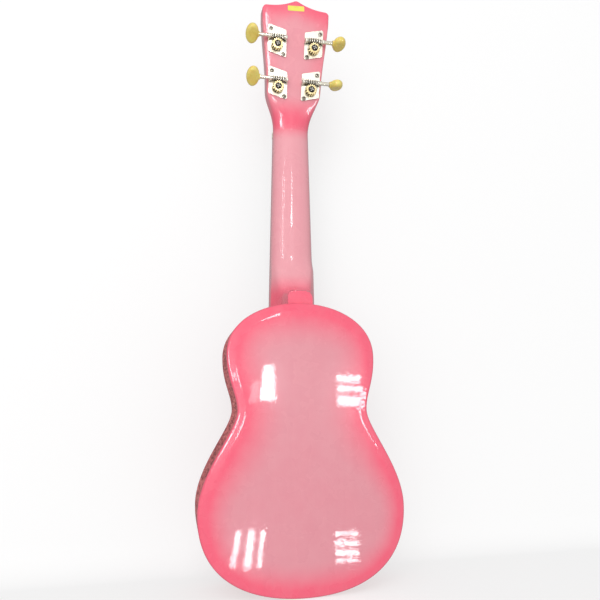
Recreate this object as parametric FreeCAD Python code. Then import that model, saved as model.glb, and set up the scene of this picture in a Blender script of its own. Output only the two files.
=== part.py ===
import FreeCAD, Part
import math
import os
from FreeCAD import Matrix, Placement
from FreeCAD import Vector as V

# Soprano ukulele with a burst-lacquered hollow body, open-gear tuners and four nylon strings.
#
# Row frame: +Z runs up the neck, the soundboard faces -Y and the arched back faces +Y, +X is the side of
# the A string. The origin is on the floor under the tail, midway between the frontmost string and the
# backmost point of the arch. Lengths are in millimetres.
#
# Inside this script a depth d is measured backwards from the soundboard's outer face, so a point is
# V(x, d, z); place_in_row() moves every finished piece into the row frame.

# ---------------------------------------------------------------- driving dimensions
Y_SOUNDBOARD = -23.317        # row-frame y of the soundboard's outer face

# body outline, as half-widths at their heights above the tail
BODY_LENGTH = 233.0
LOWER_BOUT = (84.5, 65.0)
WAIST = (54.5, 142.0)
UPPER_BOUT = (63.5, 189.0)
OUTLINE_PULLS = (46.0, 48.0, 30.0, 15.0, 14.0, 23.0, 28.0, 33.0)   # Bezier handle lengths, tail to neck
DEPTH_AT_TAIL = 57.0
DEPTH_AT_NECK = 45.5
ARCH_RADIUS_LONG = 1400.0     # the back's curve along the body
ARCH_RADIUS_CROSS = 700.0     # and across it

TOP_THICK = 2.0
BACK_THICK = 2.2
SIDE_THICK = 2.0
EDGE_ROUND = 1.5
LINING_THICK = 4.0
LINING_TALL = 6.0
BLOCK_HALF_WIDTH = 23.0
BLOCK_THICK = 13.0
BRACE_WIDE = 6.0
BRACE_TALL = 8.0
TOP_BRACE_Z = (120.0, 193.0)
BACK_BRACE_Z = (92.0, 172.0)

SOUNDHOLE_Z = 156.0
SOUNDHOLE_R = 25.0
ROSETTE_R = (28.0, 33.0)
ROSETTE_DEEP = 0.6

# neck, fingerboard and scale
SCALE = 348.0
FRET_COUNT = 12
NUT_Z = BODY_LENGTH + SCALE / 2
NUT_THICK = 5.0
NUT_HALF = 17.5
JOINT_HALF = 20.9
BOARD_THICK = 4.0
BOARD_END_Z = BODY_LENGTH - 8.0
NECK_DEPTH_NUT = 14.0
NECK_DEPTH_HEEL = 16.0
HEEL_DEPTH = 41.0
HEEL_CAP_HALF = 11.7
HEEL_CAP_LONG = 11.6
HEEL_FLARE = 0.4              # how far the heel's root spreads past the neck on each side
HEEL_SQUARE = 4.0             # power of the cap's rounded-square outline
FRET_WIDE = 2.0
FRET_TALL = 0.9
FRET_TANG = (0.6, 1.6)
DOT_FRETS = (5, 7, 10)
DOT_R = 2.5
DOT_THICK = 1.0
DOWEL_R = 3.0
DOWEL_X = 8.0
DOWEL_DEPTH = 17.0
DOWEL_REACH = 12.0

# headstock, in its own plane: x across, s up from the crease behind the nut
CREASE_Z = NUT_Z + NUT_THICK
HEAD_TILT = 10.0
HEAD_THICK = 13.0
HEAD_EDGE_ROUND = 1.8
HEAD_TIP_S = 126.0
HEAD_SHOULDER = (26.9, 38.0)
HEAD_CORNER_S = 114.5
HEAD_TOP_HALF = 33.0
HALF_COUNT = 20               # steps from the side to the middle of each carved section
# where the carved skins have their knots: above the body, below the nut, above the crease
HEEL_KNOTS = (-10, 0, 3, 5.5, 7.5, 9, 10, 11, 12, 13, 14, 15.5, 17.5, 20, 23, 27, 32, 38, 45)
SHAFT_KNOTS = (119, 107, 92, 77, 62, 47, 32, 19)
HEAD_KNOTS = (0, 7.6, 11.4, 15.2, 19, 22.8, 26.6, 30.4, 34.2, 38, 44, 52, 62, 72, 82, 92, 102, 112, 130)
STICKER = (16.2, 4.8, 0.15)
STICKER_S = 118.4

# strings: name, x side at the nut, radius, tuner position (x, s), knob's rest angle
STRING_GAUGE = {"g": 0.31, "c": 0.43, "e": 0.36, "a": 0.28}
STRING_AT_NUT = {"g": -13.2, "c": -4.4, "e": 4.4, "a": 13.2}
STRING_AT_SADDLE = {"g": -20.4, "c": -6.8, "e": 6.8, "a": 20.4}
TUNER_AT = {"g": (-16.2, 38.9), "c": (-18.1, 79.6), "e": (18.1, 79.6), "a": (16.2, 38.9)}
KNOB_ANGLE = {"g": -4.0, "c": 9.0, "e": 38.0, "a": 42.0}
SADDLE_Z = NUT_Z - SCALE - 1.5
SADDLE_THICK = 2.4
SADDLE_DEPTH_TOP = -10.3
SADDLE_DEPTH_FOOT = -3.2
SADDLE_HALF = 24.0
BRIDGE_HALF = 36.0
BRIDGE_Z = (SADDLE_Z - 12.0, SADDLE_Z + 7.0)
BRIDGE_TALL = 7.4
BRIDGE_WING_TALL = 3.6
BRIDGE_BLOCK_HALF = 27.0
PLATE_PAD_THICK = 2.2
STRING_SLOT_FLOOR = -2.6
KNOT_R = 1.35
STRING_OVER_NUT = -5.6        # depth of a string's underside where it leaves the nut
NUT_TOP = -6.1
COIL_HEIGHT = 6.6             # of the lowest wrap above the headstock's face
STRING_TAIL = 4.0
COIL_LEAD_IN = 0.12           # radians past the meeting point before the wraps start to climb

# tuner, in its own frame: u outwards along the worm, v up the headstock, w out of the headstock's back
GEAR_TEETH = 14
MODULE = 0.72
AXIAL_PITCH = math.pi * MODULE
GEAR_PITCH_R = GEAR_TEETH * MODULE / 2
WORM_PITCH_R = 2.26
CENTRES = GEAR_PITCH_R + WORM_PITCH_R
ADDENDUM = 0.50
DEDENDUM = 0.72
TOOTH_SHARE = 0.42            # of the pitch, at the pitch line, for both the thread and the teeth
FLANK = math.tan(math.radians(20.0))
WORM_HALF = 5.6
WORM_AXIS_W = 4.1
GEAR_W = (2.0, 6.2)
HUB_W = 1.05
HUB_R = 4.1
PLATE_THICK = 0.9
PLATE_CORNERS = ((9.3, 20.7), (-8.9, 16.2), (-9.4, -10.5), (8.9, -5.9))
PLATE_CORNER_R = 1.6
LUG_U = (8.0, 8.9)
LUG_HALF = 2.35
SHAFT_PIN_R = 1.55
RUNNING_GAP = 0.05
SHAFT_R = 1.75
BUTTON_U = (18.6, 31.0)
BUTTON_HALF_LONG = 9.5
BUTTON_THICK = 7.0
POST_R = 3.0
POST_WAIST_R = 2.55
POST_TOP = 13.6               # above the headstock's front face
POST_DRIVE_R = 2.3
POST_DRIVE_FLAT = 1.8
POST_HOLE_H = 9.4
POST_HOLE_R = 0.9
BUSHING_R = 4.0
BUSHING_LONG = 8.0
BUSHING_FLANGE = (5.3, 1.2)
GEAR_SCREW_R = 3.1
GEAR_SCREW_SHANK = (1.3, 7.0)
PLATE_SCREW_R = 2.1
PLATE_SCREW_SHANK = (1.0, 8.0)
PLATE_SCREW_AT = ((6.3, 16.0), (-6.4, -7.8))

X, Y, Z = V(1, 0, 0), V(0, 1, 0), V(0, 0, 1)
FAR = 400.0


# ---------------------------------------------------------------- small helpers
def box(x0, x1, d0, d1, z0, z1):
    return Part.makeBox(x1 - x0, d1 - d0, z1 - z0, V(x0, d0, z0))


def rod(radius, start, end):
    return Part.makeCylinder(radius, (end - start).Length, start, end - start)


def fuse(shapes):
    whole = shapes[0].multiFuse(shapes[1:])
    return whole.removeSplitter()


def half(shape, side):
    """The part of a shape with x on the given side of the middle."""
    low = 0.0 if side > 0 else -FAR
    return shape.common(box(low, low + FAR, -FAR, FAR, -FAR, 2 * FAR))


def smooth_curve(points, start=None, end=None):
    curve = Part.BSplineCurve()
    if start is None:
        curve.interpolate(Points=points)
    else:
        curve.interpolate(Points=points, InitialTangent=start, FinalTangent=end)
    return curve.toShape()


def bezier(p0, p1, p2, p3, share):
    a, b = 1 - share, share
    return tuple(
        a**3 * p0[i] + 3 * a * a * b * p1[i] + 3 * a * b * b * p2[i] + b**3 * p3[i] for i in (0, 1)
    )


def place_in_row(shape):
    moved = shape.copy()
    moved.translate(V(0, Y_SOUNDBOARD, 0))
    return moved


# ---------------------------------------------------------------- body outline and arch
def half_outline(inset, steps=7):
    """Points (x, z) up the +X edge of the body from tail to neck, moved inwards by inset."""
    (w1, z1), (w2, z2), (w3, z3) = LOWER_BOUT, WAIST, UPPER_BOUT
    h = OUTLINE_PULLS
    spans = [
        ((0, 0), (h[0], 0), (w1, z1 - h[1]), (w1, z1)),
        ((w1, z1), (w1, z1 + h[2]), (w2, z2 - h[3]), (w2, z2)),
        ((w2, z2), (w2, z2 + h[4]), (w3, z3 - h[5]), (w3, z3)),
        ((w3, z3), (w3, z3 + h[6]), (h[7], BODY_LENGTH), (0, BODY_LENGTH)),
    ]
    points = []
    nudge = 1e-4
    for span in spans:
        for step in range(steps):
            share = step / steps
            x, z = bezier(*span, share)
            x1, z1_ = bezier(*span, share + nudge)
            run, rise = x1 - x, z1_ - z
            long = math.hypot(run, rise)
            points.append((x - inset * rise / long, z + inset * run / long))
    points[0] = (0.0, inset)
    points.append((0.0, BODY_LENGTH - inset))
    return points


def body_prism(inset, d0, d1):
    """The body's plan, moved inwards by inset, between two depths."""
    points = half_outline(inset)
    right = smooth_curve([V(x, d0, z) for x, z in points], X, -X)
    left = smooth_curve([V(-x, d0, z) for x, z in points], -X, X)
    return Part.Face(Part.Wire([right, left])).extrude(V(0, d1 - d0, 0))


def arch_block(inset):
    """Everything in front of the back's arched surface, moved inwards by inset."""
    tail, neck = V(0, DEPTH_AT_TAIL, 0), V(0, DEPTH_AT_NECK, BODY_LENGTH)
    along = neck - tail
    outwards = V(0, along.z, -along.y).normalize()
    drop = math.sqrt(ARCH_RADIUS_LONG**2 - (along.Length / 2) ** 2)
    centre = (tail + neck) * 0.5 - outwards * drop
    reach, floor = 110.0, 140.0
    radius = ARCH_RADIUS_CROSS - inset
    crown = centre + outwards * (ARCH_RADIUS_LONG - inset)
    arc_centre = crown - outwards * radius
    sag = radius - math.sqrt(radius**2 - reach**2)
    left, right = crown - outwards * sag - X * reach, crown - outwards * sag + X * reach
    assert abs((left - arc_centre).Length - radius) < 1e-6
    low_left, low_right = left - outwards * floor, right - outwards * floor
    profile = Part.Wire([
        Part.Arc(left, crown, right).toShape(),
        Part.makeLine(right, low_right),
        Part.makeLine(low_right, low_left),
        Part.makeLine(low_left, left),
    ])
    sweep = 14.0
    face = Part.Face(profile)
    face.rotate(centre, X, -sweep / 2)
    return face.revolve(centre, X, sweep)


# ---------------------------------------------------------------- neck
def heel_half_width(depth):
    share = max(0.0, (HEEL_DEPTH - depth) / (HEEL_DEPTH - 6.0))
    return HEEL_CAP_HALF + (JOINT_HALF + HEEL_FLARE - HEEL_CAP_HALF) * share**2.0


def heel_reach(depth):
    share = max(0.0, (HEEL_DEPTH - depth) / (HEEL_DEPTH - NECK_DEPTH_HEEL))
    return HEEL_CAP_LONG + 4.0 * share + 22.0 * share**5


def heel_surface(x, z):
    """Depth of the heel's carved flank at (x, z). It runs on past the flat cap, which is cut later."""
    run = max(0.0, z - BODY_LENGTH)
    low, high = -60.0, HEEL_DEPTH + 6.0
    for _ in range(40):
        depth = (low + high) / 2
        taper = 1.0 if depth <= HEEL_DEPTH else 1.0 - 0.03 * (depth - HEEL_DEPTH)
        across = abs(x) / (heel_half_width(depth) * taper)
        up = run / (heel_reach(depth) * taper)
        if across**HEEL_SQUARE + up**HEEL_SQUARE > 1:
            high = depth
        else:
            low = depth
    return low


def neck_half(z):
    share = (z - BODY_LENGTH) / (NUT_Z - BODY_LENGTH)
    return JOINT_HALF + (NUT_HALF - JOINT_HALF) * min(share, 1.0)


def neck_depth(z):
    share = (z - BODY_LENGTH) / (NUT_Z - BODY_LENGTH)
    return NECK_DEPTH_HEEL + (NECK_DEPTH_NUT - NECK_DEPTH_HEEL) * share


def end_mults(knots):
    return [4] + [1] * (len(knots) - 2) + [4]


def pole_places(knots):
    """Where a cubic's poles stand so that equal steps of its parameter are equal distances."""
    padded = [knots[0]] * 2 + list(knots) + [knots[-1]] * 2
    return [sum(padded[i:i + 3]) / 3 for i in range(len(padded) - 2)]


def across_knots():
    """Knots across every carved section, spaced like the points of the round and the flat form."""
    forms = [head_section(0), head_section(HEAD_SHOULDER[1])]
    places = [0.0]
    for i in range(2 * HALF_COUNT):
        steps = [(form[i + 1] - form[i]).Length for form in forms]
        places.append(places[-1] + sum(steps) / 2)
    return [places[0]] + places[2:-2] + [places[-1]]


def carved_solid(sections, u_knots):
    """A solid whose underside is one smooth skin over the sections and whose top and ends are flat."""
    v_knots = across_knots()
    skin = Part.BSplineSurface()
    skin.buildFromPolesMultsKnots(
        sections, end_mults(u_knots), end_mults(v_knots), u_knots, v_knots, False, False, 3, 3)
    underside = skin.toShape()
    ends = [sections[0][0], sections[0][-1], sections[-1][0], sections[-1][-1]]

    def rim(p, q):
        for edge in underside.Edges:
            tips = [edge.Vertexes[0].Point, edge.Vertexes[-1].Point]
            if min((tips[0] - p).Length + (tips[1] - q).Length,
                   (tips[1] - p).Length + (tips[0] - q).Length) < 1e-6:
                return edge
        raise ValueError("the skin has no such rim")

    low, high = Part.makeLine(ends[0], ends[1]), Part.makeLine(ends[2], ends[3])
    top = Part.Face(Part.Wire([rim(ends[0], ends[2]), high, rim(ends[1], ends[3]), low]))
    low_cap = Part.Face(Part.Wire([rim(ends[0], ends[1]), low]))
    high_cap = Part.Face(Part.Wire([rim(ends[2], ends[3]), high]))
    shell = Part.Shell([underside, top, low_cap, high_cap])
    shell.sewShape()
    solid = Part.Solid(shell)
    if solid.Volume < 0:
        solid.reverse()
    return solid


def shaft_section(z):
    points = []
    blend = 2.5
    for i in range(2 * HALF_COUNT + 1):
        turn = math.pi / 2 * i / HALF_COUNT
        x = neck_half(z) * math.cos(turn)
        round_back = neck_depth(z) * math.sin(turn) ** 0.85
        heel = heel_surface(x, z) if z < BODY_LENGTH + 45 else -60.0
        gap = round_back - heel
        depth = 0.5 * (round_back + heel + math.sqrt(gap * gap + blend * blend * math.sin(turn)))
        points.append(V(x, min(depth, HEEL_DEPTH + 4), z))
    points[0].y = points[-1].y = 0.0
    return points


def head_point(x, s, h):
    """A point over the headstock: h is measured forwards from its front face."""
    tilt = math.radians(HEAD_TILT)
    return V(x, s * math.sin(tilt) - h * math.cos(tilt), CREASE_Z + s * math.cos(tilt) + h * math.sin(tilt))


def head_half(s):
    """Half-width of the headstock: the flare behind the nut, then sides that spread towards the crown."""
    width, shoulder = HEAD_SHOULDER
    if s <= shoulder:
        share, power = max(s, 0.0) / shoulder, 2.5
        return NUT_HALF + (width - NUT_HALF) * share**power * (1 + power - power * share)
    share = min((s - shoulder) / (HEAD_CORNER_S - shoulder), 1.0)
    return width + (HEAD_TOP_HALF - width) * share * share * (3 - 2 * share)


def round_half_profile(width, depth):
    """Points (x, depth) from the side to the middle of a round-backed section."""
    turns = [math.pi / 2 * i / HALF_COUNT for i in range(HALF_COUNT + 1)]
    return [(width * math.cos(turn), depth * math.sin(turn) ** 0.85) for turn in turns]


def slab_half_profile(width, depth, radius):
    """The same number of points round a flat-backed section with rounded corners."""
    side_count, corner_count = 5, 5
    points = [(width, (depth - radius) * i / side_count) for i in range(side_count + 1)]
    for i in range(1, corner_count + 1):
        turn = math.pi / 2 * i / corner_count
        points.append((width - radius + radius * math.cos(turn), depth - radius + radius * math.sin(turn)))
    back_count = HALF_COUNT - side_count - corner_count
    points += [((width - radius) * (1 - i / back_count), depth) for i in range(1, back_count + 1)]
    return points


def head_section(s):
    """A section square to the headstock, turning from the neck's round back to the flat slab."""
    share = min(s / HEAD_SHOULDER[1], 1.0)
    flat = share * share * (3 - 2 * share)
    width = head_half(s)
    round_half = round_half_profile(width, HEAD_THICK + 0.6 * (1 - flat))
    slab_half = slab_half_profile(width, HEAD_THICK, HEAD_EDGE_ROUND)
    right = []
    for (round_x, round_d), (slab_x, slab_d) in zip(round_half, slab_half):
        right.append((round_x + (slab_x - round_x) * flat, round_d + (slab_d - round_d) * flat))
    profile = right + [(-x, d) for x, d in reversed(right[:-1])]
    return [head_point(x, s, -d) for x, d in profile]


def crown_waste():
    """What is cut away above the headstock's crown: clipped corners, a dip on each side, one peak."""
    corner = (HEAD_TOP_HALF, HEAD_CORNER_S + 1.0)
    shoulder = (HEAD_TOP_HALF - 3.2, HEAD_CORNER_S + 4.3)
    tip = (2.6, HEAD_TIP_S - 0.9)
    dip = [(shoulder[0] - 13, shoulder[1] + 0.3), (tip[0] + 6, HEAD_TIP_S - 3.8)]
    above = HEAD_TIP_S + 12
    edges = []
    for side in (1, -1):
        runs = [
            [(40, above), (40, corner[1] - 6)],
            [(40, corner[1] - 6), corner],
            [corner, (corner[0] - 1.4, shoulder[1] - 0.4), shoulder],
            [shoulder] + dip + [tip],
        ]
        for run in runs:
            curve = Part.BezierCurve()
            curve.setPoles([head_point(side * x, s, 1) for x, s in run])
            edges.append(curve.toShape())
    peak = Part.BezierCurve()
    poles = [tip, (0.8, HEAD_TIP_S + 0.15), (-0.8, HEAD_TIP_S + 0.15), (-tip[0], tip[1])]
    peak.setPoles([head_point(x, s, 1) for x, s in poles])
    edges += [peak.toShape(), Part.makeLine(head_point(40, above, 1), head_point(-40, above, 1))]
    outline = Part.Face(Part.Wire(Part.__sortEdges__(edges)))
    return outline.extrude(head_point(0, 0, -HEAD_THICK - 2) - head_point(0, 0, 0))


def make_neck():
    """Heel, shaft and headstock in one piece, with the heel scribed to the body's end."""
    knots = [BODY_LENGTH + step for step in HEEL_KNOTS] + [NUT_Z - step for step in SHAFT_KNOTS]
    knots.append(CREASE_Z)
    rows = [shaft_section(z) for z in pole_places(knots)[:-1]]
    shaft = carved_solid(rows + [head_section(0)], knots)
    shaft = shaft.cut(box(-60, 60, HEEL_DEPTH, HEEL_DEPTH + 30, 150, 300))
    shaft = shaft.cut(body_prism(0, -1, 80))
    head = carved_solid([head_section(s) for s in pole_places(HEAD_KNOTS)], list(HEAD_KNOTS))
    return fuse([shaft, head.cut(crown_waste())])


# ---------------------------------------------------------------- body shell and its inside
def rim_cutter():
    """What rounds the back plate's outer edge: a hollow corner profile swept round half of its rim."""
    blank = half(body_prism(0, 20, 80).common(arch_block(0)), 1)
    rim = max((e for e in blank.Edges if e.CenterOfMass.y > 40), key=lambda e: e.Length)
    start = min((v.Point for v in rim.Vertexes), key=lambda p: p.z)
    r, clear = EDGE_ROUND, 1.0
    turn = math.radians(45)

    def at(outwards, backwards):
        return start + V(0, backwards, -outwards)

    profile = Part.Wire([
        Part.Arc(at(0.02, -r), at(-r + r * math.sin(turn), -r + r * math.cos(turn)), at(-r, 0.05)).toShape(),
        Part.makeLine(at(-r, 0.05), at(-r, clear + 1)),
        Part.makeLine(at(-r, clear + 1), at(clear, clear + 1)),
        Part.makeLine(at(clear, clear + 1), at(clear, -r)),
        Part.makeLine(at(clear, -r), at(0.02, -r)),
    ])
    sweep = Part.BRepOffsetAPI.MakePipeShell(Part.Wire([rim]))
    sweep.setBiNormalMode(Y)
    sweep.add(profile)
    sweep.build()
    sweep.makeSolid()
    return sweep.shape()


def make_back_plate():
    """The arched plate, rounded over along its outer edge."""
    plate = half(body_prism(0, 20, 80).common(arch_block(0)).cut(arch_block(BACK_THICK)), 1)
    right = plate.cut(rim_cutter())
    return right.fuse(right.mirror(V(0, 0, 0), X)).removeSplitter()


def make_soundboard():
    board = body_prism(0, 0, TOP_THICK)
    rims = []
    for edge in board.Edges:
        middle = edge.valueAt((edge.FirstParameter + edge.LastParameter) / 2)
        if abs(middle.y) < 0.01 and edge.Length > 50:
            rims.append(edge)
    board = board.makeFillet(EDGE_ROUND * 0.6, rims)
    board = board.cut(rod(SOUNDHOLE_R, V(0, -5, SOUNDHOLE_Z), V(0, 5, SOUNDHOLE_Z)))
    return board.cut(make_rosette())


def make_rosette():
    start, end = V(0, 0, SOUNDHOLE_Z), V(0, ROSETTE_DEEP, SOUNDHOLE_Z)
    return rod(ROSETTE_R[1], start, end).cut(rod(ROSETTE_R[0], start, end))


def inside(inset_plan, inset_arch):
    """The room inside the body, drawn in from its plan and from its arched back."""
    return body_prism(inset_plan, TOP_THICK, 80).common(arch_block(inset_arch))


def make_sides():
    ring = inside(0, BACK_THICK).cut(body_prism(SIDE_THICK, -1, 90)).cut(dowels())
    return half(ring, 1), half(ring, -1)


def block_room(end):
    if end == "tail":
        return box(-BLOCK_HALF_WIDTH, BLOCK_HALF_WIDTH, 0, 80, -1, SIDE_THICK + BLOCK_THICK)
    top = BODY_LENGTH + 1
    return box(-BLOCK_HALF_WIDTH, BLOCK_HALF_WIDTH, 0, 80, BODY_LENGTH - SIDE_THICK - BLOCK_THICK, top)


def make_block(end):
    block = inside(SIDE_THICK, BACK_THICK).common(block_room(end))
    return block.cut(dowels())


def make_top_linings():
    ring = body_prism(SIDE_THICK, TOP_THICK, TOP_THICK + LINING_TALL)
    ring = ring.cut(body_prism(SIDE_THICK + LINING_THICK, -1, 90))
    return ring.cut(block_room("tail")).cut(block_room("neck"))


def make_back_linings():
    ring = inside(SIDE_THICK, BACK_THICK).cut(arch_block(BACK_THICK + LINING_TALL))
    ring = ring.cut(body_prism(SIDE_THICK + LINING_THICK, -1, 90))
    return ring.cut(block_room("tail")).cut(block_room("neck"))


def brace_blank(z):
    room = body_prism(SIDE_THICK + LINING_THICK, -1, 90)
    return room.common(box(-FAR, FAR, -1, 90, z - BRACE_WIDE / 2, z + BRACE_WIDE / 2))


def make_top_brace(z):
    """A bar across the soundboard, thinned towards its ends."""
    bar = brace_blank(z).common(box(-FAR, FAR, TOP_THICK, TOP_THICK + BRACE_TALL, 0, 300))
    reach = bar.BoundBox.XMax
    crest = TOP_THICK + BRACE_TALL
    thin_from, thinned = reach - 22.0, 5.0
    for side in (1, -1):
        corner = [(reach, crest - thinned), (thin_from, crest), (reach, crest + 1)]
        corner = [V(side * x, depth, z) for x, depth in corner]
        wedge = Part.Face(Part.makePolygon(corner + corner[:1])).extrude(V(0, 0, 20))
        wedge.translate(V(0, 0, -10))
        bar = bar.cut(wedge)
    return bar


def make_back_brace(z):
    bar = brace_blank(z).common(arch_block(BACK_THICK)).cut(arch_block(BACK_THICK + BRACE_TALL))
    return bar


def make_bridge_plate():
    """A pad glued inside the soundboard under the bridge, a little larger than it all round."""
    half, low, high = BRIDGE_HALF + 2, BRIDGE_Z[0] - 3, BRIDGE_Z[1] + 6
    return box(-half, half, TOP_THICK, TOP_THICK + PLATE_PAD_THICK, low, high)


# ---------------------------------------------------------------- neck joint, fingerboard, nut
def dowels():
    joint = BODY_LENGTH - SIDE_THICK
    rods = [
        rod(DOWEL_R, V(x, DOWEL_DEPTH, joint - DOWEL_REACH), V(x, DOWEL_DEPTH, BODY_LENGTH + DOWEL_REACH))
        for x in (-DOWEL_X, DOWEL_X)
    ]
    return Part.makeCompound(rods)


def fret_z(number):
    return NUT_Z - SCALE * (1 - 2 ** (-number / 12))


def board_half(z):
    return JOINT_HALF + (NUT_HALF - JOINT_HALF) * (z - BODY_LENGTH) / (NUT_Z - BODY_LENGTH)


def board_blank():
    low, high = board_half(BOARD_END_Z), board_half(NUT_Z)
    plan = [V(-low, 0, BOARD_END_Z), V(low, 0, BOARD_END_Z), V(high, 0, NUT_Z), V(-high, 0, NUT_Z)]
    blank = Part.Face(Part.makePolygon(plan + plan[:1])).extrude(V(0, -BOARD_THICK, 0))
    crisp = [e for e in blank.Edges if e.Length > 100 and abs(e.CenterOfMass.y + BOARD_THICK) < 0.01]
    return blank.makeFillet(0.8, crisp)


def one_fret(number):
    """A half-round crown on a thin tang, as long as the fingerboard is wide."""
    z = fret_z(number)
    reach = board_half(z) - 0.3
    top = -BOARD_THICK
    crown = Part.Face(Part.Wire([
        Part.Arc(V(-reach, top, z - FRET_WIDE / 2), V(-reach, top - FRET_TALL, z),
                 V(-reach, top, z + FRET_WIDE / 2)).toShape(),
        Part.makeLine(V(-reach, top, z + FRET_WIDE / 2), V(-reach, top, z - FRET_WIDE / 2)),
    ])).extrude(V(2 * reach, 0, 0))
    thick, deep = FRET_TANG
    tang = box(-reach, reach, top, top + deep, z - thick / 2, z + thick / 2)
    return crown.fuse(tang).removeSplitter().Solids[0]


def make_frets():
    return Part.makeCompound([one_fret(number) for number in range(1, FRET_COUNT + 1)])


def make_dots():
    dots = []
    for number in DOT_FRETS:
        z = (fret_z(number) + fret_z(number - 1)) / 2
        dots.append(rod(DOT_R, V(0, -BOARD_THICK, z), V(0, -BOARD_THICK + DOT_THICK, z)))
    return Part.makeCompound(dots)


def make_fingerboard():
    slots = []
    thick, deep = FRET_TANG
    for number in range(1, FRET_COUNT + 1):
        z, reach = fret_z(number), board_half(fret_z(number)) - 0.3
        slots.append(box(-reach, reach, -BOARD_THICK, -BOARD_THICK + deep, z - thick / 2, z + thick / 2))
    return board_blank().cut(Part.makeCompound(slots)).cut(make_dots())


def make_nut():
    front = [
        V(-NUT_HALF, 0, NUT_Z), V(-NUT_HALF, NUT_TOP, NUT_Z),
        V(-NUT_HALF, NUT_TOP + 0.9, NUT_Z + NUT_THICK), V(-NUT_HALF, 0, NUT_Z + NUT_THICK),
    ]
    nut = Part.Face(Part.makePolygon(front + front[:1])).extrude(V(2 * NUT_HALF, 0, 0))
    for name in STRING_GAUGE:
        nut = nut.cut(string_path_solid(name, STRING_GAUGE[name] + 0.03))
    return nut


# ---------------------------------------------------------------- bridge and strings
def make_saddle():
    low, high = SADDLE_Z - SADDLE_THICK / 2, SADDLE_Z + SADDLE_THICK / 2
    crest = SADDLE_THICK / 2
    flank = SADDLE_DEPTH_TOP + crest
    x = -SADDLE_HALF
    outline = Part.Wire([
        Part.makeLine(V(x, SADDLE_DEPTH_FOOT, low), V(x, flank, low)),
        Part.Arc(V(x, flank, low), V(x, SADDLE_DEPTH_TOP, SADDLE_Z), V(x, flank, high)).toShape(),
        Part.makeLine(V(x, flank, high), V(x, SADDLE_DEPTH_FOOT, high)),
        Part.makeLine(V(x, SADDLE_DEPTH_FOOT, high), V(x, SADDLE_DEPTH_FOOT, low)),
    ])
    return Part.Face(outline).extrude(V(2 * SADDLE_HALF, 0, 0))


def make_bridge():
    """A slotted bridge: a block between two lower wings, with four slots behind the saddle."""
    low, high = BRIDGE_Z
    wings = box(-BRIDGE_HALF, BRIDGE_HALF, -BRIDGE_WING_TALL, 0, low, high)
    wings = wings.makeFillet(5.0, [e for e in wings.Edges if abs(e.tangentAt(e.FirstParameter).y) > 0.99])
    wings = wings.makeFillet(1.4, [e for e in wings.Edges if abs(e.CenterOfMass.y + BRIDGE_WING_TALL) < 0.01])
    block = box(-BRIDGE_BLOCK_HALF, BRIDGE_BLOCK_HALF, -BRIDGE_TALL, 0, low, high)
    block = block.makeFillet(1.2, [e for e in block.Edges if abs(e.CenterOfMass.y + BRIDGE_TALL) < 0.01])
    bridge = wings.fuse(block).removeSplitter()
    cuts = [box(
        -SADDLE_HALF, SADDLE_HALF, -BRIDGE_TALL - 1, SADDLE_DEPTH_FOOT,
        SADDLE_Z - SADDLE_THICK / 2, SADDLE_Z + SADDLE_THICK / 2)]
    slot_half = 0.6
    for x in STRING_AT_SADDLE.values():
        cuts.append(box(
            x - slot_half, x + slot_half, -BRIDGE_TALL - 1, STRING_SLOT_FLOOR, low - 1,
            SADDLE_Z - SADDLE_THICK / 2))
    return bridge.cut(Part.makeCompound(cuts))


def rounded_run(points, bends):
    """A wire through the points with each inner corner rounded to its own bend radius."""
    edges, start = [], points[0]
    for i in range(1, len(points) - 1):
        before = (points[i - 1] - points[i]).normalize()
        after = (points[i + 1] - points[i]).normalize()
        opening = before.getAngle(after)
        back_off = bends[i - 1] / math.tan(opening / 2)
        enter, leave = points[i] + before * back_off, points[i] + after * back_off
        bisector = (before + after).normalize()
        top = points[i] + bisector * (bends[i - 1] / math.sin(opening / 2) - bends[i - 1])
        edges += [Part.makeLine(start, enter), Part.Arc(enter, top, leave).toShape()]
        start = leave
    edges.append(Part.makeLine(start, points[-1]))
    return Part.Wire(edges)


def coil_ring(name):
    """Where a string's lowest wrap runs: (centre, radius of its middle line)."""
    x, s = TUNER_AT[name]
    return head_point(x, s, COIL_HEIGHT), POST_WAIST_R + STRING_GAUGE[name] + 0.02


def meeting_turn(name):
    """The turn, about the post, at which a string arriving from the nut touches its lowest wrap."""
    x_post, s_post = TUNER_AT[name]
    inner = -1 if x_post > 0 else 1
    run, rise = x_post - STRING_AT_NUT[name], s_post
    swing = math.acos(coil_ring(name)[1] / math.hypot(run, rise))
    return math.atan2(-rise, -run) + inner * swing


def tangent_corner(low, high, centre, radius):
    """Where the two tangents to a circle from the points low and high cross, in (z, depth)."""
    turns = []
    for point, sign in ((low, 1), (high, -1)):
        dz, dd = point[0] - centre[0], point[1] - centre[1]
        turns.append(math.atan2(dd, dz) + sign * math.acos(radius / math.hypot(dz, dd)))
    middle, spread = (turns[0] + turns[1]) / 2, (turns[0] - turns[1]) / 2
    reach = radius / math.cos(spread)
    corner = (centre[0] + reach * math.cos(middle), centre[1] + reach * math.sin(middle))
    mirrored = (centre[0] - reach * math.cos(middle), centre[1] - reach * math.sin(middle))
    return min(corner, mirrored, key=lambda point: point[1])


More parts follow.
